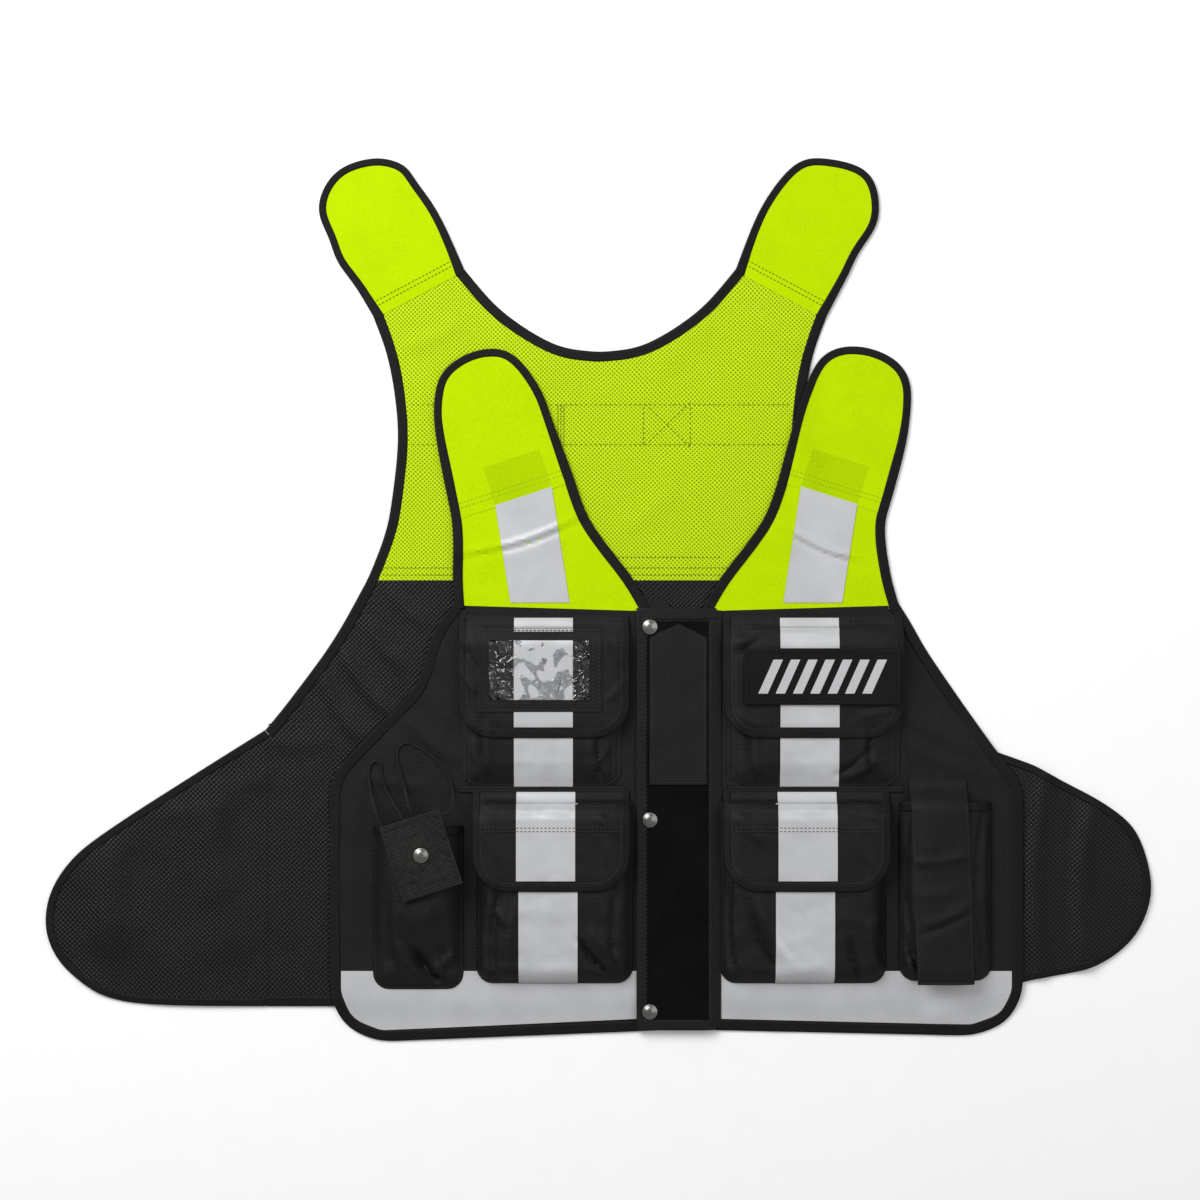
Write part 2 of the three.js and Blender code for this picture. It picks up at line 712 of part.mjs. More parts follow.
function buildClosure() {
  const hinge = frontCentreX + closureHinge;
  const outline = rectangle(frontCentreX - closureHalfWidth, hemY + closureHemRise, hinge, waistY);
  node("closure_flap", slab(outline, closureBase, clothThick, snapHoles()), blackCloth());
  for (const [row, y] of Object.entries(snapRows())) {
    node(`snap_cap_${row}`, platedCap(clothThick), gunmetal()).position.set(snapX, y, closureTop);
    node(`snap_stud_${row}`, studSolid(), gunmetal()).position.set(snapX, y, frontTop);
  }
  const x1 = hinge - tabFromHinge;
  const x0 = x1 - tabWidth;
  const shoulder = waistY - tabTopGap - tabPoint;
  const tip = [(x0 + x1) / 2, shoulder + tabPoint];
  const tab = [[x0, tabBottomY], [x1, tabBottomY], [x1, shoulder], tip, [x0, shoulder]];
  node("closure_tab", slab(tab, closureTop + gap, clothThick), blackCloth());
}

// ---- side closures and assembly of one half ----

function sideHookStrip(side) {
  const x1 = frontHalfWidth - hookInset;
  const outline = rectangle(x1 - hookWidth, sideFootY + hookEndMargin, x1, sideTopY - hookEndMargin);
  return slab(onHalf(side, outline), hookBase, hookThick);
}

function buildHalf(side) {
  const holes = side === "left" ? snapHoles() : [];
  node(`${side}_panel`, slab(frontPanel(side), frontBase, clothThick, holes), blackCloth());
  node(`${side}_edge_binding`, slab(frontBinding(side), frontBase, clothThick + bindingProud), binding());
  node(`${side}_yoke`, slab(frontYoke(side), frontBase, clothThick), limeCloth());
  node(`${side}_strap`, slab(frontStrap(side), frontBase, clothThick), limeCloth());
  node(`${side}_yoke_tape`, slab(yokeTape(side), trimBase, tapeThick), reflectiveTape());
  node(`${side}_hem_tape`, slab(hemTape(side), trimBase, tapeThick), reflectiveTape());
  node(`side_hook_strip_${side}`, sideHookStrip(side), hookPile());
  return buildFlaps(side, buildPocketPair(side));
}

buildBack();
buildWings();
buildIdWindow(buildHalf("left"));
buildRadioPocket();
buildBadge(buildHalf("right"));
buildTorchPouch();
buildClosure();

// The origin stands at the bottom centre of the whole vest.
const box = new THREE.Box3().setFromObject(vest, true);
const middle = box.getCenter(new THREE.Vector3());
vest.children.forEach((piece) => piece.position.sub(new THREE.Vector3(middle.x, middle.y, box.min.z)));

export default vest;
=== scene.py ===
# High visibility vest laid flat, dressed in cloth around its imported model. Metres, +Z up out of the front.
import json
import math
import random

import bpy
import numpy as np
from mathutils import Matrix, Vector
from mathutils.geometry import delaunay_2d_cdt


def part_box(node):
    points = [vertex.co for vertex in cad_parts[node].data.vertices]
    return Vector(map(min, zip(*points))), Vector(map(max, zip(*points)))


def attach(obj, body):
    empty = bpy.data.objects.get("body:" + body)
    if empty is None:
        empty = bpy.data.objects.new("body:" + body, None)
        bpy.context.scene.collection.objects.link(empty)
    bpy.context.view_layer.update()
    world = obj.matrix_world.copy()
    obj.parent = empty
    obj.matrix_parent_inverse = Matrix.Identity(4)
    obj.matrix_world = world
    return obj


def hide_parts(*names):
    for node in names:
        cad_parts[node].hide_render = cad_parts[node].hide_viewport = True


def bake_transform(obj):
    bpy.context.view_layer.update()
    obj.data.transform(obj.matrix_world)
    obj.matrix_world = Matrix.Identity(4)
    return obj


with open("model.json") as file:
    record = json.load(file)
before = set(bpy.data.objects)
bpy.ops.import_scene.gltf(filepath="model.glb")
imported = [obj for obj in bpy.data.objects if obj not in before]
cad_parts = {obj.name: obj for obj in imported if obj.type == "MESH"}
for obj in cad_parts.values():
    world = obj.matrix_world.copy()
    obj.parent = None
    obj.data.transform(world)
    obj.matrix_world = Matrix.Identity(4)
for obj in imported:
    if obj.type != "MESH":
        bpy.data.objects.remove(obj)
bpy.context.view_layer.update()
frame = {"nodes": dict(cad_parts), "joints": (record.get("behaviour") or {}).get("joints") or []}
strapSeamGaps = (6.4, 10.4)  # mm from a strap's seam to its two rows of stitches
mm = 0.001


def linear(hexText, alpha=1.0):  # an sRGB hex colour as linear numbers
    def one(pair):
        c = int(pair, 16) / 255
        return c / 12.92 if c <= 0.04045 else ((c + 0.055) / 1.055) ** 2.4
    return (*[one(hexText[i:i + 2]) for i in (1, 3, 5)], alpha)


def pick(piece):
    bpy.ops.object.select_all(action="DESELECT")
    piece.select_set(True)
    bpy.context.view_layer.objects.active = piece


def applyAll(piece):
    pick(piece)
    for modifier in list(piece.modifiers):
        bpy.ops.object.modifier_apply(modifier=modifier.name)


def smoothed(piece, degrees=40):
    pick(piece)
    bpy.ops.object.shade_smooth_by_angle(angle=math.radians(degrees))


def meshPiece(name, points, faces, uvs=None):
    mesh = bpy.data.meshes.new(name)
    mesh.from_pydata([tuple(p) for p in points], [], faces)
    if uvs is not None:
        layer = mesh.uv_layers.new(name="alongAcross")
        corner = np.zeros(len(mesh.loops), np.int32)
        mesh.loops.foreach_get("vertex_index", corner)
        layer.data.foreach_set("uv", np.asarray(uvs, np.float32)[corner].ravel())
    piece = bpy.data.objects.new(name, mesh)
    bpy.context.scene.collection.objects.link(piece)
    return piece


def dress(piece, material, body=None, replaced=(), across=None):
    piece.data.materials.clear()
    piece.data.materials.append(material)
    if across:
        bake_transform(piece)
    else:
        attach(piece, body)
    if replaced:
        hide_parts(*replaced)
    return piece


def ramp(value):  # 0 to 1, easing in and out
    t = np.clip(value, 0, 1)
    return t * t * (3 - 2 * t)


def loopArea(loop):
    x, y = np.asarray(loop).T
    return 0.5 * float(np.sum(x * np.roll(y, -1) - np.roll(x, -1) * y))


def topLoops(nodeName):  # the loops round a plate's top face, the largest first, all counter-clockwise
    mesh = frame["nodes"][nodeName].data
    mesh.calc_loop_triangles()
    key = [tuple(round(c, 6) for c in v.co) for v in mesh.vertices]
    high = max(k[2] for k in key) - 1e-5
    directed = set()
    for triangle in mesh.loop_triangles:
        corners = [key[i] for i in triangle.vertices]
        if min(c[2] for c in corners) >= high:
            directed |= set(zip(corners, corners[1:] + corners[:1]))
    onward = {a: b for a, b in directed if (b, a) not in directed}
    loops = []
    while onward:
        at = min(onward)
        loop = []
        while at in onward:
            loop.append(at[:2])
            at = onward.pop(at)
        loops.append(np.array(loop))
    loops.sort(key=lambda loop: -abs(loopArea(loop)))
    return [loop if loopArea(loop) > 0 else loop[::-1] for loop in loops]


def turns(points, closed):  # how far the outline turns at each point, in radians
    into = points - np.roll(points, 1, 0)
    away = np.roll(points, -1, 0) - points
    a = np.arctan2(into[:, 1], into[:, 0])
    b = np.arctan2(away[:, 1], away[:, 0])
    turned = (b - a + math.pi) % (2 * math.pi) - math.pi
    if not closed:
        turned[[0, -1]] = math.pi
    return turned


def smoothRun(points, step, closed=False, sharp=38):
    # The same run with points a step apart, rounded between its sharp corners.
    points = np.asarray(points, float)
    corner = np.abs(turns(points, closed)) > math.radians(sharp)
    count = len(points)
    into = points - np.roll(points, 1, 0)
    away = np.roll(points, -1, 0) - points
    la = np.hypot(*away.T)[:, None] + 1e-12
    tangent = into + away
    tangent /= np.hypot(*tangent.T)[:, None] + 1e-12
    made = []
    for i in range(count if closed else count - 1):
        j = (i + 1) % count
        length = la[i][0]
        straight = away[i] / length
        t0 = straight if corner[i] else tangent[i]
        t1 = straight if corner[j] else tangent[j]
        for k in range(max(1, round(length / step))):
            t = k / max(1, round(length / step))
            h = (2 * t**3 - 3 * t**2 + 1, t**3 - 2 * t**2 + t, 3 * t**2 - 2 * t**3, t**3 - t**2)
            made.append(h[0] * points[i] + h[1] * length * t0 + h[2] * points[j] + h[3] * length * t1)
    if not closed:
        made.append(points[-1])
    return np.array(made)


def besideRun(run, distance, closed=False):  # moved to its left; distance may differ from point to point
    run = np.asarray(run, float)
    away = np.roll(run, -1, 0) - run
    away /= np.hypot(*away.T)[:, None] + 1e-12
    into = np.roll(away, 1, 0)
    if not closed:
        into[0], away[-1] = away[0], into[-1]
    along = into + away
    along /= np.hypot(*along.T)[:, None] + 1e-12
    reach = np.broadcast_to(distance, len(run)) / np.maximum((along * into).sum(1), 0.5)
    return run + np.stack([-along[:, 1], along[:, 0]], 1) * reach[:, None]


def nearest(loop, target):
    return int(np.argmin(np.hypot(*(np.asarray(loop) - np.asarray(target)).T)))


def edgeRun(loop, start, end):  # the stretch of a closed outline from near one point to near another
    i, j = nearest(loop, start), nearest(loop, end)
    return loop[i:j + 1] if j >= i else np.vstack([loop[i:], loop[:j + 1]])


def evenly(run, count):
    steps = np.hypot(*np.diff(run, axis=0).T)
    at = np.concatenate([[0], np.cumsum(steps)])
    wanted = np.linspace(0, at[-1], count)
    return np.stack([np.interp(wanted, at, run[:, k]) for k in (0, 1)], 1)


def eased(run, reach, closed=False):  # evens out the turns of a run over that length; its ends stay
    count = max(8, int(np.hypot(*np.diff(run, axis=0).T).sum() / (3 * mm)))
    run = evenly(np.vstack([run, run[:1]]), count)[:-1] if closed else evenly(run, count)
    side = int(2 * reach / (3 * mm)) + 1
    if closed:
        padded = np.vstack([run[-side:], run, run[:side]])
    else:
        padded = np.vstack([2 * run[0] - run[side:0:-1], run, 2 * run[-1] - run[-2:-side - 2:-1]])
    weights = np.exp(-(np.arange(-side, side + 1) * 3 * mm / reach) ** 2)
    return np.stack([np.convolve(padded[:, k], weights / weights.sum(), "valid") for k in (0, 1)], 1)


def stripMiddle(nodeName):  # the middle line of a narrow strip
    loop = topLoops(nodeName)[0]
    ends = np.argsort(-np.abs(turns(loop, True)))[:4]
    a, b, c, d = sorted(ends)
    runs = [loop[a:b + 1], loop[b:c + 1], loop[c:d + 1], np.vstack([loop[d:], loop[:a + 1]])]
    lengths = [np.hypot(*np.diff(r, axis=0).T).sum() for r in runs]
    first = int(np.argmax(lengths))
    one, other = runs[first], runs[(first + 2) % 4][::-1]
    count = max(len(one), len(other)) * 2
    return (evenly(one, count) + evenly(other, count)) / 2


def insideBy(x, y, loop):  # metres inside an outline, negative outside it
    shortest, inside = np.full(np.shape(x), 1e9), np.zeros(np.shape(x), bool)
    for (ax, ay), (bx, by) in zip(loop, np.roll(loop, -1, 0)):
        ex, ey = bx - ax, by - ay
        t = np.clip(((x - ax) * ex + (y - ay) * ey) / (ex * ex + ey * ey + 1e-18), 0, 1)
        shortest = np.minimum(shortest, np.hypot(x - ax - t * ex, y - ay - t * ey))
        inside ^= ((ay > y) != (by > y)) & (x < ex * (y - ay) / (ey + 1e-18) + ax)
    return np.where(inside, shortest, -shortest)


def runDistance(x, y, run):  # metres from an open run
    shortest = np.full(np.shape(x), 1e9)
    for (ax, ay), (bx, by) in zip(run[:-1], run[1:]):
        ex, ey = bx - ax, by - ay
        t = np.clip(((x - ax) * ex + (y - ay) * ey) / (ex * ex + ey * ey + 1e-18), 0, 1)
        shortest = np.minimum(shortest, np.hypot(x - ax - t * ex, y - ay - t * ey))
    return shortest


def grown(loop, amount, seams=()):
    # Moves an outline outwards, by another amount along each straight seam, given as start, end and amount.
    moved = besideRun(loop, -amount, closed=True)
    for start, end, other in seams:
        along = (np.asarray(end) - start) / np.hypot(*(np.asarray(end) - start))
        square = np.array([along[1], -along[0]])
        square = square * np.sign((loop.mean(0) - start) @ -square)
        near = runDistance(loop[:, 0], loop[:, 1], [start, end]) < 2 * mm
        moved[near] += square * (other - amount)
    return moved


def nudged(loop, nudges):  # moves the outline near places, each (x, y, reach, sideways, up) in millimetres
    loop = np.array(loop)
    for x, y, reach, sideways, up in nudges:
        share = np.exp(-((loop[:, 0] - x * mm) ** 2 + (loop[:, 1] - y * mm) ** 2) / (reach * mm) ** 2)
        loop += share[:, None] * np.array((sideways, up)) * mm
    return loop


def ripple(x, y, size, seed, ways=7):  # soft unevenness, about -1 to 1, with bumps of that size
    rng = random.Random(seed)
    total = 0
    for _ in range(ways):
        angle, phase = rng.uniform(0, math.pi), rng.uniform(0, 2 * math.pi)
        turn = 2 * math.pi / size * rng.uniform(0.7, 1.5)
        total = total + np.sin(turn * (x * math.cos(angle) + y * math.sin(angle)) + phase)
    return total / ways * 1.7


def creases(x, y, folds):  # soft ridges and valleys, each (x0, y0, x1, y1, width, height) in millimetres
    total = np.zeros(np.shape(x))
    for x0, y0, x1, y1, width, height in folds:
        ax, ay, bx, by = x0 * mm, y0 * mm, x1 * mm, y1 * mm
        ex, ey = bx - ax, by - ay
        t = ((x - ax) * ex + (y - ay) * ey) / (ex * ex + ey * ey)
        off = ((x - ax) * ey - (y - ay) * ex) / math.hypot(ex, ey)
        bend = 0.12 * math.hypot(ex, ey) * np.sin(math.pi * np.clip(t, 0, 1))
        fade = ramp(np.minimum(t + 0.25, 1.25 - t) / 0.45)
        total += height * mm * fade * np.exp(-((off - bend * 0.4) / (width * mm)) ** 2)
    return total


def triangulated(loop, holes, spacing):
    low, high = loop.min(0), loop.max(0)
    ys = np.arange(low[1], high[1], spacing * math.sqrt(3) / 2)
    xs = np.arange(low[0], high[0], spacing)
    gx = xs[None, :] + np.where(np.arange(len(ys)) % 2, spacing / 2, 0)[:, None]
    gy = np.broadcast_to(ys[:, None], gx.shape)
    gx, gy = gx.ravel(), gy.ravel()
    keep = insideBy(gx, gy, loop) > 0.55 * spacing
    for hole in holes:
        keep &= insideBy(gx, gy, hole) < -0.55 * spacing
    rings = [loop, *holes]
    points = np.vstack([*rings, np.stack([gx[keep], gy[keep]], 1)])
    edges, at = [], 0
    for ring in rings:
        edges += [(at + i, at + (i + 1) % len(ring)) for i in range(len(ring))]
        at += len(ring)
    found = delaunay_2d_cdt([Vector(p) for p in points], edges, [], 0, 1e-9, False)
    points = np.array([(v.x, v.y) for v in found[0]])
    faces = np.array([tuple(f) for f in found[2]])
    middle = points[faces].mean(1)
    inside = insideBy(middle[:, 0], middle[:, 1], loop) > 0
    for hole in holes:
        inside &= insideBy(middle[:, 0], middle[:, 1], hole) < 0
    return points, faces[inside]


def clothPiece(name, loop, top, thick, holes=(), spacing=4 * mm):
    # Cloth cut to an outline and laid so that its upper side is at top(x, y).
    flat, faces = triangulated(loop, holes, spacing)
    z = top(flat[:, 0], flat[:, 1])
    piece = meshPiece(name, np.column_stack([flat, z]), [tuple(int(i) for i in f) for f in faces])
    wall = piece.modifiers.new("wall", "SOLIDIFY")
    wall.thickness = thick
    wall.offset = -1
    applyAll(piece)
    smoothed(piece)
    return piece


# Across a folded binding, as shares of its width and thickness.
bindingSection = [(-0.5, 0), (-0.485, 0.6), (-0.42, 0.92), (-0.3, 1), (-0.1, 0.96), (0.15, 1), (0.34, 1.05),
                  (0.46, 0.75),
                  (0.5, 0), (0.46, -0.75), (0.34, -1), (0.1, -1), (-0.3, -1), (-0.46, -0.7)]


def bindingPiece(name, run, width, top, cloth=1.1 * mm, wrap=0.75 * mm, closed=False):
    # Tape folded over the edge of the cloth along a run; width may differ from point to point.
    run = np.asarray(run, float)
    widths = np.broadcast_to(width, len(run))
    unit = besideRun(run, 1.0, closed) - run
    steps = np.hypot(*np.diff(run, axis=0).T)
    along = np.concatenate([[0], np.cumsum(steps)])
    points, uvs = [], []
    rng = np.random.default_rng(7)
    pucker = 1 + 0.1 * np.interp(along, np.linspace(0, along[-1], 8 + int(along[-1] / (9 * mm))),
                                 rng.uniform(-1, 1, 8 + int(along[-1] / (9 * mm))))
    for side, rise in bindingSection:
        xy = run + unit * (widths * side)[:, None]
        middle = top(run[:, 0], run[:, 1]) * 0.4 + top(xy[:, 0], xy[:, 1]) * 0.6 - cloth / 2
        z = middle + rise * pucker * (cloth / 2 + wrap)
        points.append(np.column_stack([xy, np.maximum(z, 0.1 * mm)]))
        uvs.append(np.column_stack([along, widths * side]))
    ring, count = len(bindingSection), len(run)
    grid = np.stack(points, 1).reshape(-1, 3)
    faces = []
    for i in range(count if closed else count - 1):
        for k in range(ring):
            a, b = i * ring, ((i + 1) % count) * ring
            faces.append((a + k, a + (k + 1) % ring, b + (k + 1) % ring, b + k))
    if not closed:
        faces.append(tuple(range(ring))[::-1])
        faces.append(tuple((count - 1) * ring + k for k in range(ring)))
    piece = meshPiece(name, grid, faces, np.stack(uvs, 1).reshape(-1, 2))
    pick(piece)
    bpy.ops.object.mode_set(mode="EDIT")
    bpy.ops.mesh.select_all(action="SELECT")
    bpy.ops.mesh.normals_make_consistent(inside=False)
    bpy.ops.object.mode_set(mode="OBJECT")
    smoothed(piece, 50)
    return piece


stitchLists = {}  # body and thread to a list of stitch ends and heights


def stitch(body, run, top, step=3.4 * mm, long=2.5 * mm, thread="blackThread", lift=0.1 * mm):
    # Stitches laid along a run on the surface top(x, y).
    run = np.asarray(run, float)
    steps = np.hypot(*np.diff(run, axis=0).T)
    at = np.concatenate([[0], np.cumsum(steps)])
    starts = np.arange(step / 2, at[-1] - long, step)
    ends = []
    for offset in (0, long):
        xy = np.stack([np.interp(starts + offset, at, run[:, k]) for k in (0, 1)], 1)
        ends.append(np.column_stack([xy, top(xy[:, 0], xy[:, 1]) + lift]))
    stitchLists.setdefault((body, thread), []).append(np.stack(ends, 1))


def stitchPieces():  # one piece of thread for each body, each stitch a small lozenge
    radius = 0.42 * mm
    for (body, thread), found in stitchLists.items():
        ends = np.concatenate(found)
        a, b = ends[:, 0], ends[:, 1]
        along = b - a
        along /= np.linalg.norm(along, axis=1)[:, None] + 1e-12
        side = np.column_stack([-along[:, 1], along[:, 0], np.zeros(len(along))]) * radius
        up = np.array([0, 0, radius * 0.9])
        rings = [a - up * 0.5]
        for share in (0.2, 0.8):
            middle = a + (b - a) * share
            rings += [middle + side, middle + up, middle - side, middle - up]
        rings.append(b - up * 0.5)
        points = np.stack(rings, 1).reshape(-1, 3)
        shape = [(0, 2, 1), (0, 3, 2), (0, 4, 3), (0, 1, 4)]
        shape += [(1 + k, 1 + (k + 1) % 4, 5 + (k + 1) % 4, 5 + k) for k in range(4)]
        shape += [(9, 5 + k, 5 + (k + 1) % 4) for k in range(4)]
        faces = [tuple(10 * i + k for k in face) for i in range(len(a)) for face in shape]
        piece = meshPiece(f"{body}_{thread}_stitches", points, faces)
        smoothed(piece, 60)
        dress(piece, materials[thread], body)


stageSettings = {"frameWidth": 1020 * mm, "centre": (1.3 * mm, -0.3 * mm), "height": 6 * mm, "lens": 100,
                 "floor": "#f7f7f7", "sky": 0.4, "key": 50, "fill": 13}


def makeStage():
    s = stageSettings
    camera = bpy.data.objects.new("camera", bpy.data.cameras.new("camera"))
    camera.data.lens, camera.data.sensor_width = s["lens"], 36
    camera.location = (*s["centre"], s["height"] + s["frameWidth"] * s["lens"] / 36)
    bpy.context.scene.collection.objects.link(camera)
    bpy.context.scene.camera = camera
    bpy.context.scene.view_settings.view_transform = "Standard"

    world = bpy.data.worlds.new("studio")
    world.use_nodes = True
    world.node_tree.nodes["Background"].inputs["Color"].default_value = (1, 1, 1, 1)
    world.node_tree.nodes["Background"].inputs["Strength"].default_value = s["sky"]
    bpy.context.scene.world = world
    lamps = (("keyLight", (-1.1, 1.2, 1.5), 1.4, s["key"]), ("fillLight", (1.4, 0.3, 1.6), 1.8, s["fill"]))
    for name, place, size, power in lamps:
        lamp = bpy.data.objects.new(name, bpy.data.lights.new(name, "AREA"))
        lamp.data.energy, lamp.data.size = power, size
        lamp.location = place
        lamp.rotation_euler = (-Vector(place)).to_track_quat("-Z", "Y").to_euler()
        bpy.context.scene.collection.objects.link(lamp)

    bpy.ops.object.select_all(action="DESELECT")
    bpy.ops.mesh.primitive_plane_add(size=12, location=(0, 0, -0.05 * mm))
    floor = bpy.context.object
    floor.name = "floor"
    floor.data.materials.append(paperFloor())
    print("stage: camera, two lamps and a paper floor")


def addNode(tree, kind, settings=(), values=(), links=(), stops=()):
    made = tree.nodes.new(kind)
    for key, value in dict(settings).items():
        setattr(made, key, value)
    for key, value in dict(values).items():
        made.inputs[key].default_value = value
    for key, source in dict(links).items():
        tree.links.new(source, made.inputs[key])
    for i, (place, colour) in enumerate(stops):
        stop = made.color_ramp.elements[i] if i < 2 else made.color_ramp.elements.new(place)
        stop.position, stop.color = place, colour
    return made


def newMaterial(name, values):
    material = bpy.data.materials.new(name)
    material.use_nodes = True
    tree = material.node_tree
    shader = tree.nodes["Principled BSDF"]
    for key, value in values.items():
        shader.inputs[key].default_value = value
    place = addNode(tree, "ShaderNodeTexCoord")
    return material, tree, shader, place


def paperFloor():  # seamless background paper, matt and almost white
    material, tree, shader, place = newMaterial("backgroundPaper",
                                                {"Roughness": 0.95, "Specular IOR Level": 0.1})
    grain = addNode(tree, "ShaderNodeTexNoise", values={"Scale": 40, "Detail": 2},
                    links={"Vector": place.outputs["Object"]})
    tint = addNode(tree, "ShaderNodeValToRGB", links={"Fac": grain.outputs["Fac"]},
                   stops=[(0.3, linear("#f6f6f6")), (0.7, linear(stageSettings["floor"]))])
    tree.links.new(tint.outputs["Color"], shader.inputs["Base Color"])
    return material


bandPeriod = 2 * math.pi / 20  # a wave texture's bands repeat this far apart at scale 1


def wovenCloth(name, dark, light, thread, roughness, bump, gloss=0.1, sheen=0.0, blotch=0.035, turn=0.0,
               coords="Object"):
    # Plain weave: two sets of threads crossing, with slubs that catch the light and slow changes of shade.
    values = {"Roughness": roughness, "Specular IOR Level": gloss, "Sheen Weight": sheen,
              "Sheen Roughness": 0.5}
    material, tree, shader, place = newMaterial(name, values)
    turned = addNode(tree, "ShaderNodeMapping", values={"Rotation": (0, 0, turn)},
                     links={"Vector": place.outputs[coords]})
    at = {"Vector": turned.outputs["Vector"]}
    bands = [addNode(tree, "ShaderNodeTexWave", {"bands_direction": direction},
                     {"Scale": bandPeriod / thread, "Distortion": 0.6, "Detail Scale": 0.4},
                     at) for direction in "XY"]
    weave = addNode(tree, "ShaderNodeMath", {"operation": "ADD"},
                    links={0: bands[0].outputs["Fac"], 1: bands[1].outputs["Fac"]})
    slub = addNode(tree, "ShaderNodeTexNoise", values={"Scale": 1 / (2.4 * thread), "Detail": 3,
                                                       "Roughness": 0.7}, links=at)
    slow = addNode(tree, "ShaderNodeTexNoise", values={"Scale": 1 / blotch, "Detail": 2}, links=at)
    mixed = addNode(tree, "ShaderNodeMath", {"operation": "MULTIPLY_ADD"}, {1: 0.3},
                    {0: weave.outputs[0], 2: slub.outputs["Fac"]})
    shade = addNode(tree, "ShaderNodeMath", {"operation": "MULTIPLY_ADD"}, {1: 0.5},
                    {0: slow.outputs["Fac"], 2: mixed.outputs[0]})
    tint = addNode(tree, "ShaderNodeValToRGB", links={"Fac": shade.outputs[0]},
                   stops=[(0.82, linear(dark)), (1.3, linear(light))])
    rise = addNode(tree, "ShaderNodeBump", values={"Strength": 0.9, "Distance": bump},
                   links={"Height": mixed.outputs[0]})
    tree.links.new(tint.outputs["Color"], shader.inputs["Base Color"])
    tree.links.new(rise.outputs["Normal"], shader.inputs["Normal"])
    return material


def knittedMesh(name, hole, dark, light, pitch, roughness, bump):
    # Warp-knitted mesh: staggered round eyelets between soft yarns. The eyelets, and the yarn darkening
    # towards them, are painted shade standing in for the shadow inside each eyelet. Real eyelets are about 2
    # mm apart.
    values = {"Roughness": roughness, "Specular IOR Level": 0.2}
    material, tree, shader, place = newMaterial(name, values)
    turned = addNode(tree, "ShaderNodeMapping", values={"Rotation": (0, 0, math.radians(45))},
                     links={"Vector": place.outputs["Object"]})
    at = {"Vector": turned.outputs["Vector"]}
    drift = addNode(tree, "ShaderNodeTexNoise", values={"Scale": 30, "Detail": 1}, links=at)
    moved = addNode(tree, "ShaderNodeVectorMath", {"operation": "MULTIPLY_ADD"}, {1: (0.004,) * 3},
                    {0: drift.outputs["Color"], 2: turned.outputs["Vector"]})
    cells = addNode(tree, "ShaderNodeTexVoronoi", {"voronoi_dimensions": "2D"},
                    {"Scale": 1 / pitch, "Randomness": 0.0}, {"Vector": moved.outputs["Vector"]})
    yarn = addNode(tree, "ShaderNodeTexNoise", values={"Scale": 900, "Detail": 2}, links=at)
    shade = addNode(tree, "ShaderNodeMath", {"operation": "MULTIPLY_ADD"}, {1: 0.16},
                    {0: yarn.outputs["Fac"], 2: cells.outputs["Distance"]})
    # the first stop, the hole colour, is painted shade inside the eyelets; the dark stop darkens the yarn
    # towards them as painted shade
    tint = addNode(tree, "ShaderNodeValToRGB", links={"Fac": shade.outputs[0]},
                   stops=[(0.3, linear(hole)), (0.42, linear(dark)), (0.62, linear(light))])
    rise = addNode(tree, "ShaderNodeBump", values={"Strength": 1.0, "Distance": bump},
                   links={"Height": shade.outputs[0]})
    tree.links.new(tint.outputs["Color"], shader.inputs["Base Color"])
    tree.links.new(rise.outputs["Normal"], shader.inputs["Normal"])
    return material


def ribbedTape(name, dark, light, rib, roughness, bump):
    # Grosgrain: ribs across the tape, on the piece's own map, whose first number is the way along it.
    material, tree, shader, place = newMaterial(name, {"Roughness": roughness, "Specular IOR Level": 0.15})
    at = {"Vector": place.outputs["UV"]}
    ribs = addNode(tree, "ShaderNodeTexWave", {"bands_direction": "X"},
                   {"Scale": bandPeriod / rib, "Distortion": 0.5}, at)
    fluff = addNode(tree, "ShaderNodeTexNoise", values={"Scale": 700, "Detail": 3}, links=at)
    mixed = addNode(tree, "ShaderNodeMath", {"operation": "MULTIPLY_ADD"}, {1: 0.6},
                    {0: ribs.outputs["Fac"], 2: fluff.outputs["Fac"]})
    tint = addNode(tree, "ShaderNodeValToRGB", links={"Fac": mixed.outputs[0]},
                   stops=[(0.5, linear(dark)), (1.1, linear(light))])
    rise = addNode(tree, "ShaderNodeBump", values={"Strength": 0.7, "Distance": bump},
                   links={"Height": mixed.outputs[0]})
    tree.links.new(tint.outputs["Color"], shader.inputs["Base Color"])
    tree.links.new(rise.outputs["Normal"], shader.inputs["Normal"])
    return material


def speckled(name, dark, light, size, values, bump, coords="Object"):
    # A surface of fine grains, such as glass beads, a clipped pile, yarn or plated metal.
    material, tree, shader, place = newMaterial(name, values)
    at = {"Vector": place.outputs[coords]}
    grain = addNode(tree, "ShaderNodeTexNoise", values={"Scale": 1 / size, "Detail": 3, "Roughness": 0.65},
                    links=at)
    slow = addNode(tree, "ShaderNodeTexNoise", values={"Scale": 28, "Detail": 2}, links=at)
    shade = addNode(tree, "ShaderNodeMath", {"operation": "MULTIPLY_ADD"}, {1: 0.6},
                    {0: slow.outputs["Fac"], 2: grain.outputs["Fac"]})
    tint = addNode(tree, "ShaderNodeValToRGB", links={"Fac": shade.outputs[0]},
                   stops=[(0.55, linear(dark)), (1.05, linear(light))])
    rise = addNode(tree, "ShaderNodeBump", values={"Strength": 0.6, "Distance": bump},
                   links={"Height": grain.outputs["Fac"]})
    tree.links.new(tint.outputs["Color"], shader.inputs["Base Color"])
    tree.links.new(rise.outputs["Normal"], shader.inputs["Normal"])
    return material


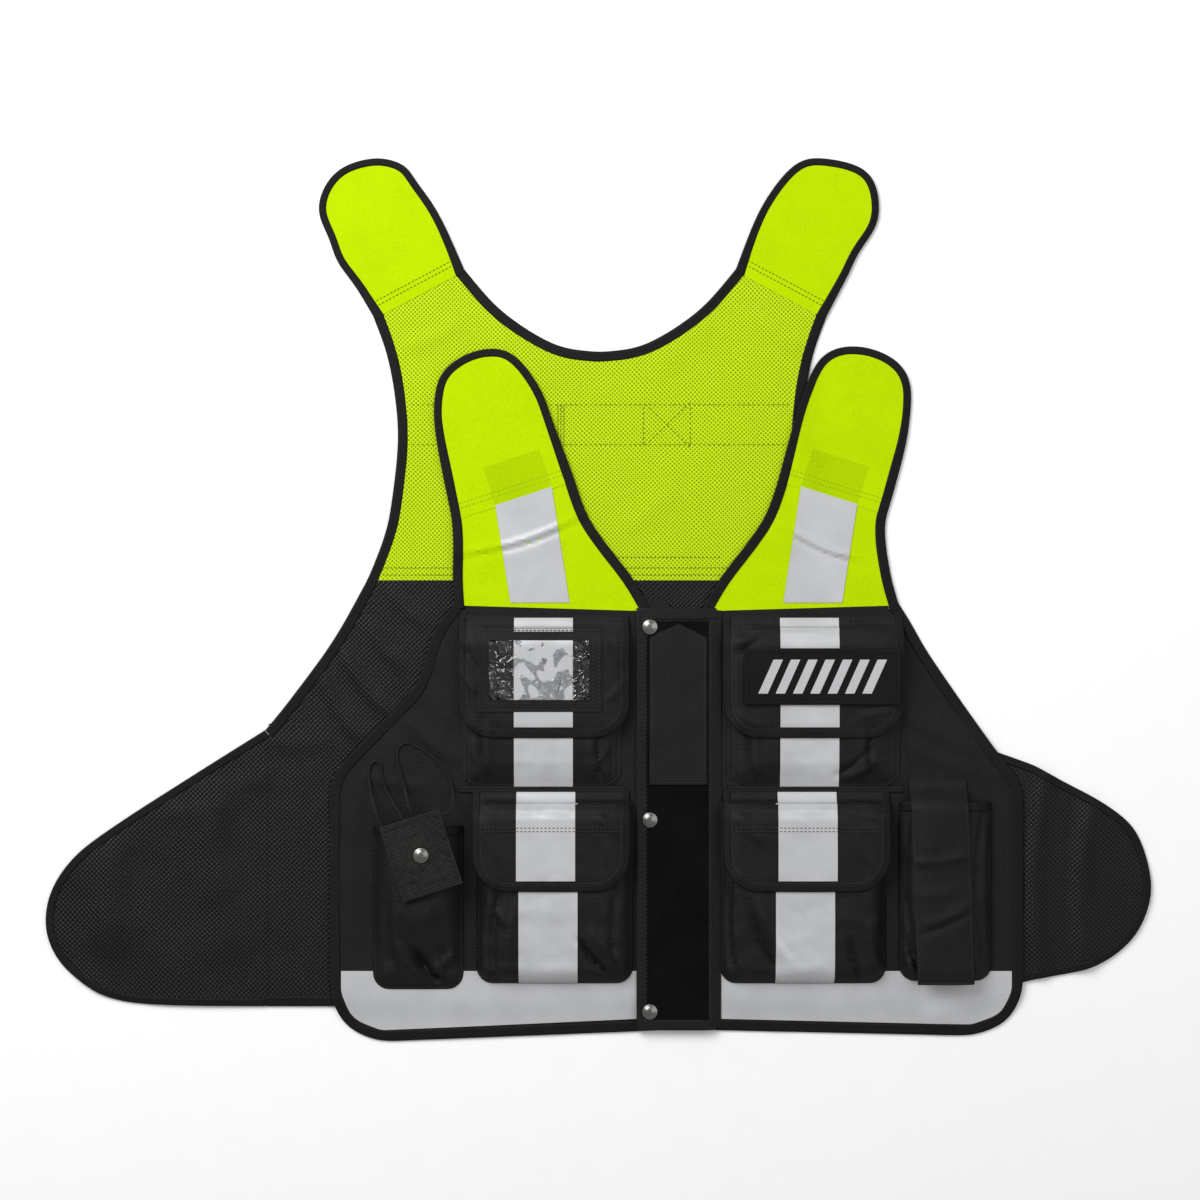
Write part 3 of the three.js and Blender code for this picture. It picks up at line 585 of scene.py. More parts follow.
def clearFilm():  # soft PVC: clear, glossy, with a faint haze
    values = {"Base Color": linear("#f4f6f7"), "Roughness": 0.04, "IOR": 1.53, "Transmission Weight": 1.0}
    material, tree, shader, place = newMaterial("clearSoftVinyl", values)
    waves = addNode(tree, "ShaderNodeTexNoise", values={"Scale": 75, "Detail": 1.5, "Distortion": 1.2},
                    links={"Vector": place.outputs["Object"]})
    rise = addNode(tree, "ShaderNodeBump", values={"Strength": 1.0, "Distance": 9 * mm},
                   links={"Height": waves.outputs["Fac"]})
    tree.links.new(rise.outputs["Normal"], shader.inputs["Normal"])
    return material


def makeMaterials():
    cloth = {"Roughness": 0.8, "Specular IOR Level": 0.2}
    return {
        # the first colour given to each knitted mesh is painted shade in its eyelets
        "limeMesh": knittedMesh("limeKnittedMesh", "#708600", "#aaca00", "#c0dc00", 2.6 * mm, 0.8,
                                0.5 * mm),
        "limeCloth": wovenCloth("limeBrushedPolyester", "#a4c400", "#b4d400", 0.9 * mm, 0.8, 0.12 * mm,
                                0.04),
        "limeBacked": wovenCloth("limePolyesterOverTape", "#98b800", "#a8c800", 0.9 * mm, 0.8, 0.12 * mm,
                                 0.04),
        # the black first colour is painted shade in the mesh's eyelets
        "blackMesh": knittedMesh("blackKnittedMesh", "#000000", "#050505", "#161616", 2.9 * mm, 0.42,
                                 0.9 * mm),
        # The real thread is about 0.5 mm: it is drawn at 1.1 mm so that the weave shows.
        "oxford": wovenCloth("blackOxfordCloth", "#040404", "#141415", 1.1 * mm, 0.55, 0.3 * mm, 0.17),
        "binding": ribbedTape("blackGrosgrain", "#050505", "#131312", 1.0 * mm, 0.6, 0.25 * mm),
        "reflective": speckled("glassBeadTape", "#aeafb1", "#bfc0c2", 0.6 * mm,
                               {"Roughness": 0.42, "Metallic": 0.15, "Specular IOR Level": 0.45},
                               0.06 * mm),
        "pile": speckled("loopPile", "#020202", "#0e0e0e", 0.9 * mm,
                         {"Roughness": 1.0, "Specular IOR Level": 0.1}, 0.8 * mm),
        "webbing": wovenCloth("nylonWebbing", "#020202", "#1f1e1c", 2.0 * mm, 0.45, 0.8 * mm, 0.15,
                              turn=math.radians(-18)),
        "limeWebbing": wovenCloth("limeWebbing", "#9fba00", "#b9d600", 1.7 * mm, 0.7, 0.4 * mm),
        "film": clearFilm(),
        "gunmetal": speckled("gunmetalPlatedBrass", "#6c6b68", "#8c8b87", 0.5 * mm,
                             {"Metallic": 1.0, "Roughness": 0.3}, 0.01 * mm),
        "badgeTwill": wovenCloth("badgeTwill", "#0a0a0b", "#151516", 0.8 * mm, 0.7, 0.15 * mm,
                                 turn=math.radians(45)),
        "blackThread": speckled("blackThread", "#101010", "#262626", 0.4 * mm, cloth, 0.05 * mm),
        "greyThread": speckled("charcoalThread", "#1c1c1c", "#343432", 0.4 * mm, cloth, 0.05 * mm),
        "oliveThread": speckled("oliveThread", "#4a5a10", "#6f8418", 0.4 * mm, cloth, 0.05 * mm),
        "limeThread": speckled("limeThread", "#8fae00", "#a6c600", 0.4 * mm, cloth, 0.05 * mm),
        "cord": ribbedTape("braidedElastic", "#0c0c0c", "#2e2d2b", 1.6 * mm, 0.55, 0.3 * mm),
    }


materials = makeMaterials()
makeStage()


shift = Vector((1.31, -346.2, 0)) * mm  # from the centre of the back's hem to the model's origin
loopRoutes = {
    "longLoop": ("radio_loop_long", [
        (-158.6, 163.4, 28.4), (-160.3, 168.5, 28.4), (-163, 177, 21.4), (-166, 187, 9.4), (-169, 198, 6.4),
        (-172.2, 210, 5.4), (-171.8, 219, 5.4), (-166, 223.8, 5.4), (-157.3, 221.9, 5.4),
                                     (-143.7, 213.4, 5.4),
        (-133, 203, 5.4), (-127, 192, 6.4), (-124.8, 182, 10.4), (-124.4, 174.5, 19.4),
                                     (-125.6, 169.5, 26.4),
        (-129, 166.2, 28.4), (-134.1, 164.4, 28.4)]),
    "shortLoop": ("radio_loop_short", [
        (-184.6, 154.9, 28.4), (-186.8, 160.5, 28.4), (-188.8, 166, 27.4), (-193.3, 178, 12.4),
                                       (-195.8, 192, 6.4),
        (-196, 202, 5.4), (-193.8, 207.4, 5.4), (-189.9, 208.6, 5.4), (-186.4, 205.5, 5.4),
                                       (-185.2, 198, 5.4),
        (-183, 188, 7.4), (-178, 178, 11.4), (-172, 169.5, 24.4), (-168.6, 164.5, 28.4),
                                       (-166.8, 160.7, 28.4)]),
}


def makeLoops():
    for name, (cadNode, route) in loopRoutes.items():
        curve = bpy.data.curves.new(name, "CURVE")
        curve.dimensions = "3D"
        curve.bevel_depth, curve.bevel_resolution, curve.resolution_u = 1.0 * mm, 3, 8
        curve.use_fill_caps = True
        spline = curve.splines.new("BEZIER")
        spline.bezier_points.add(len(route) - 1)
        places = [Vector(p) * mm + shift for p in route]
        for bead, place in zip(spline.bezier_points, places):
            bead.co = place
            bead.handle_left_type = bead.handle_right_type = "AUTO"
        loop = bpy.data.objects.new(name, curve)
        bpy.context.scene.collection.objects.link(loop)
        dress(loop, materials["cord"], "radio_pad", [cadNode])
    print("loops: two elastic cords")


makeLoops()


backSettings = {"thick": 1.1 * mm, "top": 1.7 * mm, "seamOver": 2.5 * mm, "strapBinding": 6.5 * mm,
                "wingBinding": 7 * mm, "wingOver": 0.4 * mm,
                "folds": [(-218, -44, -176, -98, 5, 2.2), (-238, -62, -203, -118, 5.5, 2.0),
                          (-196, -20, -170, -56, 5, 1.8),
                          (-228, -50, -190, -106, 4, -1.0), (-180, 10, -150, -20, 5, 1.2),
                          (-165, 215, -120, 235, 7, 1.1),
                          (130, 240, 175, 215, 7, 1.1), (-150, 190, -100, 150, 9, 0.9),
                          (20, 60, 60, 90, 9, 0.8),
                          (-330, -175, -300, -300, 12, 1.0), (-400, -190, -420, -290, 20, 1.2),
                          (-350, -160, -280, -150, 9, 0.8),
                          (-280, -120, -230, -120, 8, 0.8), (-90, 235, -40, 190, 12, 0.7),
                          (95, 235, 45, 190, 12, 0.7),
                          (-150, 165, -175, 60, 14, 0.8), (60, 100, 75, 20, 16, 0.6)],
                "strapNudges": {"left": [(-235, 310, 21, 6.5, 0), (-166, 367, 10, 2.5, 2)],
                                "right": [(231, 292, 20, -7, 0), (224, 358, 26, 7, 3)]}}


def backTop(x, y):
    s = backSettings
    z = s["top"] + 0.22 * mm * ripple(x, y, 0.09, 3) + creases(x, y, s["folds"])
    return np.maximum(z, 1.35 * mm)


def lifted(surface, rise):
    return lambda x, y: surface(x, y) + rise


def corner(nodeName, fx, fy):  # a place in a node's box, by shares of its width and length
    low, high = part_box(nodeName)
    return np.array([low.x + (high.x - low.x) * fx, low.y + (high.y - low.y) * fy])


def makeBackCloth():
    s = backSettings
    yokeLoop = smoothRun(topLoops("back_yoke")[0], 4 * mm, True)
    yoke = clothPiece("backYokeCloth", grown(yokeLoop, s["seamOver"]), lifted(backTop, 0.35 * mm),
                      s["thick"])
    dress(yoke, materials["limeMesh"], "back", ["back_yoke"])

    bodyLoop = smoothRun(topLoops("back_body")[0], 4 * mm, True)
    body = clothPiece("backBodyCloth", grown(bodyLoop, s["seamOver"]), backTop, s["thick"])
    dress(body, materials["blackMesh"], "back", ["back_body"])

    for name, node in (("backNeckBinding", "back_neck_binding"),
                       ("backArmBindingLeft", "back_arm_binding_left"),
                       ("backArmBindingRight", "back_arm_binding_right"),
                       ("backHemBinding", "back_hem_binding")):
        middle = eased(stripMiddle(node), 6 * mm)
        piece = bindingPiece(name, middle, 9 * mm, backTop)
        dress(piece, materials["binding"], "back", [node])
        inner = besideRun(middle, 2.6 * mm if inwardIsLeft(middle) else -2.6 * mm)
        stitch("back", inner, lifted(backTop, 0.85 * mm))
    makeYokeSeams()


def inwardIsLeft(run):  # whether the vest's middle lies to the left of a run along its edge
    a, b = run[len(run) // 2], run[len(run) // 2 + 1]
    inward = -np.asarray(a)
    return (b[0] - a[0]) * inward[1] - (b[1] - a[1]) * inward[0] > 0


def makeYokeSeams():
    low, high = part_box("back_webbing_band")
    frame["nodes"]["back_webbing_band"].data.materials.clear()
    frame["nodes"]["back_webbing_band"].data.materials.append(materials["limeWebbing"])
    onYoke = lifted(backTop, 0.35 * mm)
    dark, bold = "blackThread", {"step": 4.2 * mm, "long": 2.6 * mm, "thread": "oliveThread"}
    for y in (low.y + 2 * mm, high.y - 2 * mm):
        stitch("back", [(low.x, y), (high.x, y)], onYoke, **bold)
    left, right = corner("back_webbing_band", 0.614, 0)[0], corner("back_webbing_band", 0.737, 0)[0]
    for run in ([(left, low.y), (left, high.y)], [(right, low.y), (right, high.y)],
                [(left, low.y), (right, high.y)],
                [(left, high.y), (right, low.y)]):
        stitch("back", run, onYoke, **bold)
    for offset in (0, 2.5, 5):  # a dense bar of stitches where the band is tacked down
        x = corner("back_webbing_band", 0.39, 0)[0] + offset * mm
        stitch("back", [(x, low.y), (x, high.y)], onYoke, step=2.2 * mm, long=1.8 * mm,
               thread="oliveThread")
    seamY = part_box("back_yoke")[0].y
    for rise in (2, 8):
        stitch("back", [(-186 * mm, seamY + rise * mm), (189 * mm, seamY + rise * mm)], onYoke,
               thread="oliveThread")
    stitch("back", [(15 * mm, seamY + 17 * mm), (106 * mm, seamY + 17 * mm)], onYoke, step=3.4 * mm,
           long=1.7 * mm, thread=dark)
    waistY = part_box("wing_left")[1].y
    stitch("back", [(-283 * mm, waistY + 5 * mm), (-203 * mm, waistY + 5 * mm)], backTop,
           thread="greyThread")


def makeBackStraps():
    s = backSettings
    for side, turn in (("left", -1), ("right", 1)):
        node = f"back_strap_{side}"
        loop = nudged(smoothRun(topLoops(node)[0], 4 * mm, True), s["strapNudges"][side])
        inner, outer = seamEnds[node]
        strapLoop = grown(loop, -1.5 * mm, [(inner, outer, s["seamOver"])])
        across = ("back", node, *acrossSeam(inner, outer, 5 * mm))
        name = f"backStrap{side.title()}"
        strap = clothPiece(name, strapLoop, lifted(backTop, 0.75 * mm), s["thick"])
        dress(strap, materials["limeCloth"], across=across, replaced=[node])
        edge = eased(edgeRun(loop, outer, inner) if turn > 0 else edgeRun(loop, inner, outer), 8 * mm)
        t = np.linspace(0, 1, len(edge))
        width = s["strapBinding"] + 2.2 * mm * np.abs(2 * t - 1) ** 6
        middle = besideRun(edge, width / 2)
        piece = bindingPiece(f"{name}Binding", *reaching(middle, width, 4 * mm), lifted(backTop, 0.6 * mm))
        dress(piece, materials["binding"], across=across)
        stitch(node, besideRun(edge, width - 1.7 * mm)[3:-3], lifted(backTop, 1.5 * mm))
        for gapToSeam in strapSeamGaps:
            run = [inner + upFrom(inner, outer) * gapToSeam * mm,
                   outer + upFrom(inner, outer) * gapToSeam * mm]
            stitch(node, run, lifted(backTop, 0.75 * mm), thread="oliveThread")


def reaching(run, width, reach):  # the run and its widths, carried on straight past both ends
    first, last = run[0] - run[2], run[-1] - run[-3]
    ends = [run[0] + first / np.hypot(*first) * reach], [run[-1] + last / np.hypot(*last) * reach]
    return np.vstack([ends[0], run, ends[1]]), np.concatenate([[width[0]], width, [width[-1]]])


def upFrom(a, b):  # the unit direction square to a seam, towards the shoulders
    along = (np.asarray(b) - a) / np.hypot(*(np.asarray(b) - a))
    square = np.array([-along[1], along[0]])
    return square if square[1] > 0 else -square


def acrossSeam(a, b, reach):  # two places, each with a height of 2 mm, a reach away on either side of a seam's middle
    middle, up = (np.asarray(a) + b) / 2, upFrom(a, b)
    return [(*(middle + up * way * reach), 2 * mm) for way in (-1, 1)]


def jointSeam(jointName, span):
    # The two ends of a fold line: the joint's own point and another along its axis.
    joint = next(j for j in frame["joints"] if j["name"] == jointName)
    start = np.array(joint["pos_m"][:2])
    axis = np.array(joint["axis"][:2])
    return start, start + axis / np.hypot(*axis) * span


def makeWings():
    low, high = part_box("wing_left")
    root = [np.array([high.x, high.y]), np.array([high.x, low.y])]
    makeWing("wingLeft", topLoops("wing_left")[0], root, ("back", "wing_left"), high.x, -1, ["wing_left"])
    rightLow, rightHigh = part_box("wing_right_root")
    outer = topLoops("wing_right")[0]
    rootLoop = topLoops("wing_right_root")[0]
    joined = joinedWing(rootLoop, outer)
    root = [np.array([rightLow.x, rightHigh.y]), np.array([rightLow.x, rightLow.y])]
    makeWing("wingRight", joined, root, ("back", "wing_right"), rightHigh.x, 1,
             ["wing_right", "wing_right_root"])


def joinedWing(rootLoop, outer):  # the root and the wing past its fold as one outline
    foldX = rootLoop[:, 0].max()
    top = max((p for p in rootLoop if p[0] < foldX - mm), key=lambda p: p[1])
    foot = min((p for p in rootLoop if p[0] < foldX - mm), key=lambda p: p[1])
    a = nearest(outer, (outer[:, 0].min(), outer[:, 1].min()))
    b = nearest(outer, (outer[:, 0].min(), outer[:, 1].max()))
    run = outer[a:b + 1] if b >= a else np.vstack([outer[a:], outer[:b + 1]])
    return np.vstack([[foot], run, [top]])


def makeWing(name, cadLoop, root, bodies, foldX, turn, replaced):
    s = backSettings
    loop = smoothRun(cadLoop, 5 * mm, True)
    clothLoop = grown(loop, -1.5 * mm, [(*root, s["seamOver"])])
    surface = lifted(wingTop, s["wingOver"])
    start, end = [(foldX + turn * reach * mm, 0, 1.5 * mm) for reach in (-2, 10)]
    across = (*bodies, start, end)
    wing = clothPiece(name, clothLoop, surface, s["thick"])
    dress(wing, materials["blackMesh"], across=across, replaced=replaced)
    edge = eased(edgeRun(loop, root[1], root[0]) if turn > 0 else edgeRun(loop, root[0], root[1]), 6 * mm)
    middle = besideRun(edge, s["wingBinding"] / 2)
    piece = bindingPiece(f"{name}Binding", middle, s["wingBinding"], surface)
    dress(piece, materials["binding"], across=across)
    stitch(bodies[1], besideRun(edge, s["wingBinding"] - 1.8 * mm)[3:-3], lifted(surface, 0.85 * mm))


wingFolds = [(381, -150, 378, -330, 7, 3.0), (421, -170, 416, -318, 8, 3.2),
             (400, -165, 398, -320, 7, -1.2),
             (-330, -175, -312, -310, 13, 1.4), (-410, -200, -420, -300, 16, 1.6),
             (-370, -180, -300, -165, 10, 1.0)]


def wingTop(x, y):
    far = ramp((np.abs(x) - 285 * mm) / (40 * mm))
    return backTop(x, y) + far * np.maximum(creases(x, y, wingFolds) + 0.5 * mm * ripple(x, y, 0.07, 21),
                                            -0.3 * mm)


seamEnds = {}
for strapNode, jointName, span in (("back_strap_left", "back_strap_left_fold", 87.2),
                                   ("back_strap_right", "back_strap_right_fold", -87.2),
                                   ("left_strap", "left_strap_fold", -109.4),
                                   ("right_strap", "right_strap_fold", 97.4)):
    seamEnds[strapNode] = jointSeam(jointName, span * mm)
makeBackCloth()
makeBackStraps()
makeWings()
print("back: cloth, straps, wings and bindings")


frontSettings = {"thick": 1.0 * mm, "lie": 4.25 * mm, "low": 1.5 * mm, "hang": 26 * mm,
                 "seamOver": 2.5 * mm,
                 "yokeBinding": 8.6 * mm, "strapBinding": 7 * mm,
                 "folds": [(-114, 40.5, -20, 69.5, 2.6, 1.5), (-112, 36.5, -18, 65.5, 2.0, -1.3),
                           (163, 59, 222, 35, 2.6, 1.5),
                           (162, 55, 221, 31, 2.0, -1.3), (-161, -104, -124.5, -135.4, 4, 1.6),
                           (-150, -92, -118, -120, 5, -0.8), (262, -96, 318, -128, 7, 1.0),
                           (258, -120, 340, -150, 6, 0.8),
                           (-196, -150, -150, -158, 5, 1.0), (-205, -170, -205, -300, 6, 0.7),
                           (345, -180, 342, -310, 6, 0.7),
                           (-130, 20, -118, 60, 6, 0.8), (225, -30, 262, -60, 7, 0.8),
                           (60, 5, 45, 40, 7, 0.6)],
                 "yokeNudges": {"left": [], "right": [(251, 51, 22, -7.5, 0)]}}


def sampled(surface, low, high, step=3 * mm):  # the same surface, read off a grid
    xs, ys = np.arange(low[0], high[0] + step, step), np.arange(low[1], high[1] + step, step)
    grid = surface(*np.meshgrid(xs, ys))

    def read(x, y):
        i = np.clip((np.asarray(x, float) - xs[0]) / step, 0, len(xs) - 1.001)
        j = np.clip((np.asarray(y, float) - ys[0]) / step, 0, len(ys) - 1.001)
        i0, j0 = i.astype(int), j.astype(int)
        fi, fj = i - i0, j - j0
        near = grid[j0, i0] * (1 - fi) + grid[j0, i0 + 1] * fi
        return near * (1 - fj) + (grid[j0 + 1, i0] * (1 - fi) + grid[j0 + 1, i0 + 1] * fi) * fj
    return read


def frontShape(x, y):  # the fronts lie on the back, and sink towards the floor beyond its edges
    s = frontSettings
    beyond = np.full(np.shape(x), 1e9)
    for node in ("back_yoke", "back_body", "wing_left", "wing_right_root", "wing_right"):
        beyond = np.minimum(beyond, -insideBy(x, y, topLoops(node)[0]))
    z = s["lie"] - (s["lie"] - s["low"]) * ramp(beyond / s["hang"])
    return z + 0.22 * mm * ripple(x, y, 0.07, 11) + 0.1 * mm * ripple(x, y, 0.025, 12) + 1.15 * creases(x,
            y, s["folds"])


frontTop = sampled(frontShape, (-245 * mm, -390 * mm), (375 * mm, 225 * mm))
onYoke = lifted(frontTop, 0.45 * mm)


def makePanels():
    s = frontSettings
    for side in ("left", "right"):
        body = f"front_{side}"
        loop = eased(topLoops(f"{side}_panel")[0], 7 * mm, True)
        top = loop[loop[:, 1] > loop[:, 1].max() - 1.5 * mm]
        cut = grown(loop, s["seamOver"], [(top[np.argmin(top[:, 0])], top[np.argmax(top[:, 0])], 8 * mm)])
        panel = clothPiece(f"{side}PanelCloth", cut, frontTop, s["thick"])
        dress(panel, materials["oxford"], body, [f"{side}_panel"])
        middle = eased(stripMiddle(f"{side}_edge_binding"), 9 * mm)
        edging = bindingPiece(f"{side}PanelBinding", middle, 9.4 * mm, frontTop, s["thick"])
        dress(edging, materials["binding"], body, [f"{side}_edge_binding"])
        inner = besideRun(middle, 3.2 * mm if inwardIsLeft(middle - corner(f"{side}_panel", 0.5,
                0.5)) else -3.2 * mm)
        stitch(body, inner, lifted(frontTop, 0.8 * mm))


def makeYokes():
    s = frontSettings
    for side in ("left", "right"):
        body, node = f"front_{side}", f"{side}_strap"
        inner, outer = seamEnds[node]
        yokeLoop = nudged(smoothRun(topLoops(f"{side}_yoke")[0], 4 * mm, True), s["yokeNudges"][side])
        strapLoop = smoothRun(topLoops(node)[0], 4 * mm, True)
        low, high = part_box(f"{side}_yoke")
        foot = [yokeLoop[nearest(yokeLoop, (x, low.y - 20 * mm))] for x in (low.x, high.x)]
        cut = grown(yokeLoop, -1.5 * mm, [(inner, outer, s["seamOver"]), (*foot, 2 * mm)])
        yoke = clothPiece(f"{side}YokeCloth", cut, onYoke, s["thick"])
        dress(yoke, materials["limeCloth"], body, [f"{side}_yoke"])

        across = (body, node, *acrossSeam(inner, outer, 5 * mm))
        cut = grown(strapLoop, -1.5 * mm, [(inner, outer, s["seamOver"])])
        strap = clothPiece(f"{side}StrapCloth", cut, lifted(frontTop, 0.85 * mm), s["thick"])
        dress(strap, materials["limeCloth"], across=across, replaced=[node])
        for gapToSeam in strapSeamGaps:
            run = [inner + upFrom(inner, outer) * gapToSeam * mm,
                   outer + upFrom(inner, outer) * gapToSeam * mm]
            stitch(node, run, lifted(frontTop, 0.85 * mm), thread="limeThread")

        first, second = sorted((inner, outer), key=lambda p: -p[0])
        run = np.vstack([edgeRun(yokeLoop, foot[1], first)[:-1], edgeRun(strapLoop, first, second),
                         edgeRun(yokeLoop, second, foot[0])[1:]])
        run = eased(run, 9 * mm)
        tip = ramp((run[:, 1] - max(inner[1], outer[1])) / (60 * mm))
        width = s["yokeBinding"] + (s["strapBinding"] - s["yokeBinding"]) * tip
        carried = reaching(besideRun(run, width / 2), width, 5 * mm)
        edging = bindingPiece(f"{side}StrapBinding", *carried, lifted(frontTop, 0.65 * mm), s["thick"])
        dress(edging, materials["binding"], across=across)
        sewn = besideRun(run, width - 1.7 * mm)
        for part, owner in ((sewn[:, 1] > run[:, 1].max() - 105 * mm, node),
                            (sewn[:, 1] < min(inner[1], outer[1]) - 6 * mm, body)):
            for piece in np.split(sewn[part], np.nonzero(np.diff(np.nonzero(part)[0]) > 1)[0] + 1):
                if len(piece) > 4:
                    stitch(owner, piece, lifted(frontTop, 1.5 * mm))


def tapePiece(name, node, surface, body=None, across=None, lift=0.36 * mm, spacing=3.5 * mm):
    loop = smoothRun(topLoops(node)[0], spacing, True)
    tape = clothPiece(name, loop, lifted(surface, lift), 0.3 * mm, spacing=spacing)
    dress(tape, materials["reflective"], body, [node], across)
    return tape


def makeFrontTapes():
    for side in ("left", "right"):
        body = f"front_{side}"
        tapePiece(f"{side}YokeTape", f"{side}_yoke_tape", onYoke, body, lift=0.6 * mm, spacing=2 * mm)
        tapePiece(f"{side}HemTape", f"{side}_hem_tape", frontTop, body)


makePanels()
makeYokes()
makeFrontTapes()
print("fronts: panels, yokes, straps, bindings and tapes")


# crown is a height; soft is how far the cloth takes to rise from its sewn edge; mouth is the share of the
# height that is left at the open top.
pocketSettings = {
    "left_upper_pocket": {"crown": 12.2, "soft": 21, "steep": 1.2, "mouth": 0.7,
                          "folds": [(-98, -90, -98, -156, 1.5, -1.6), (2.2, -90, 2.2, -156, 1.5, -1.6),
                                    (-92, -100, -92, -150, 3, 0.8),
                                    (-4, -100, -4, -150, 3, 0.8), (-2, -140, 12, -118, 2.5, 1.0),
                                    (-110, -120, -100, -140, 3, 0.8)]},
    "left_lower_pocket": {"crown": 18.6, "soft": 16, "steep": 2.2, "mouth": 0.75,
                          "folds": [(-84, -248, -89, -318, 3.5, -2.6), (-70, -262, -76, -322, 4, 1.4),
                                    (-16, -290, 9, -318, 2.6, -2.8),
                                    (-6, -280, 18, -306, 4, 1.6), (14, -250, 16, -322, 3, -2.2),
                                    (-92, -255, -78, -275, 3, 1.2)]},
    "right_upper_pocket": {"crown": 12.2, "soft": 21, "steep": 1.2, "mouth": 0.7,
                           "folds": [(129.7, -90, 129.7, -156, 1.5, -1.6),
                                     (232.5, -90, 232.5, -156, 1.5, -1.6),
                                     (136, -100, 136, -150, 3, 0.8), (226, -100, 226, -150, 3, 0.8),
                                     (203, -149, 229, -128, 2.2, -1.5),
                                     (212, -152, 236, -136, 2.5, 1.2)]},
    "right_lower_pocket": {"crown": 18.6, "soft": 16, "steep": 2.2, "mouth": 0.75,
                           "folds": [(128, -262, 150, -312, 3, -2.2), (138, -258, 160, -306, 4, 1.2),
                                     (213, -290, 222, -322, 3, -2.6),
                                     (228, -282, 238, -312, 4, 1.5), (112, -240, 116, -318, 2.6, -2.4),
                                     (206, -268, 240, -276, 6, 1.0)]},
    "radio_pocket": {"crown": 24.5, "soft": 24, "steep": 1.9, "mouth": 0.86, "fall": 9, "fallFrom": 72,
                     "folds": [(-155, -300, -133, -326, 4, -4.5), (-172, -292, -152, -322, 5, 2.0),
                               (-136, -268, -126, -318, 4, -2.0),
                               (-178, -250, -174, -310, 4, -1.6), (-146, -318, -122, -300, 4, 2.2)]},
    "torch_pouch": {"crown": 18.6, "soft": 15, "steep": 2.0, "mouth": 0.8,
                    "folds": [(263, -180, 270, -310, 3, -2.4), (326, -180, 326, -300, 3, -2.2),
                              (262, -290, 276, -318, 3, -2.2)]},
}
bagTops = {}


def bagShape(node):  # the upper surface of a bag sewn down at its sides and foot and open at its top
    s = pocketSettings[node]
    loop = topLoops(node)[0]
    low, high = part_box(node)
    sewn = loop.copy()
    sewn[loop[:, 1] > high.y - 2 * mm, 1] += 90 * mm

    def top(x, y):
        inside = insideBy(x, y, sewn)
        rise = 1 - (1 - np.clip(inside / (s["soft"] * mm), 0, 1)) ** s["steep"]
        rise = rise * (s["mouth"] + (1 - s["mouth"]) * ramp((high.y - y) / (45 * mm)))
        fall = s.get("fall", 1.2) * mm * ramp((high.y - y - s.get("fallFrom", 95) * mm) / (50 * mm))
        ground = frontTop(x, y) + 0.75 * mm
        bulge = (s["crown"] * mm - fall - ground) * rise
        wrinkled = 1.7 * creases(x, y, s["folds"]) + 0.6 * mm * ripple(x, y, 0.04,
                len(node)) + 0.25 * mm * ripple(x, y,
                0.018, 5)
        return ground + bulge + wrinkled * ramp(inside / (9 * mm)) * np.clip(rise * 1.4, 0, 1)
    return sampled(top, (low.x - 12 * mm, low.y - 12 * mm), (high.x + 12 * mm, high.y + 12 * mm), 1.5 * mm)


def makePocket(node, body):
    loop = smoothRun(topLoops(node)[0], 2.8 * mm, True)
    low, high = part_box(node)
    top = bagTops[node] = bagShape(node)
    bag = clothPiece(f"{camel(node)}Bag", loop, top, 1.0 * mm, spacing=2.6 * mm)
    dress(bag, materials["oxford"], body, [node])
    sewn = besideRun(edgeRun(loop, (low.x, high.y), (high.x, high.y)), 2 * mm)
    stitch(body, sewn, top, thread="greyThread")
    return top


def camel(name):
    first, *rest = name.split("_")
    return first + "".join(word.title() for word in rest)


def makePockets():
    for side in ("left", "right"):
        body = f"front_{side}"
        for level in ("upper", "lower"):
            node = f"{side}_{level}_pocket"
            top = makePocket(node, body)
            tapePiece(f"{camel(node)}Tape", f"{node}_tape", top, body, lift=0.55 * mm, spacing=2.2 * mm)
        low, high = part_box(f"{side}_upper_pocket")
        for x in (low.x + 6.5 * mm, high.x - 6.5 * mm, low.x + 1.6 * mm, high.x - 1.6 * mm):
            stitch(body, [(x, low.y + 3 * mm), (x, high.y - 3 * mm)], bagTops[f"{side}_upper_pocket"],
                   thread="greyThread")
        makeWaistSeam(side, body)
    makePocket("radio_pocket", "front_left")
    makePocket("torch_pouch", "front_right")
    for node, body in (("radio_pocket", "front_left"), ("torch_pouch", "front_right")):
        low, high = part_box(node)
        run = evenly(np.array([(low.x + 1 * mm, high.y - 3.6 * mm), (high.x - 1 * mm, high.y - 3.6 * mm)]),
                     40)
        band = bindingPiece(f"{camel(node)}Mouth", run, 8 * mm, bagTops[node], 1.0 * mm)
        dress(band, materials["binding"], body)


def makeWaistSeam(side, body):  # the folded, twice-stitched seam between the upper and lower pockets
    low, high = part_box(f"{side}_upper_pocket")
    y = (low.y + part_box(f"{side}_lower_flap")[1].y) / 2
    run = evenly(np.array([(low.x - 3 * mm, y), (high.x + 3 * mm, y)]), 60)
    fold = bindingPiece(f"{side}WaistFold", run, 5.5 * mm, lifted(frontTop, 1.0 * mm), 1.0 * mm, 0.5 * mm)
    dress(fold, materials["oxford"], body)
    for offset in (-1.6, 1.6):
        stitch(body, run + np.array([0, offset * mm]), lifted(frontTop, 1.6 * mm), thread="greyThread")


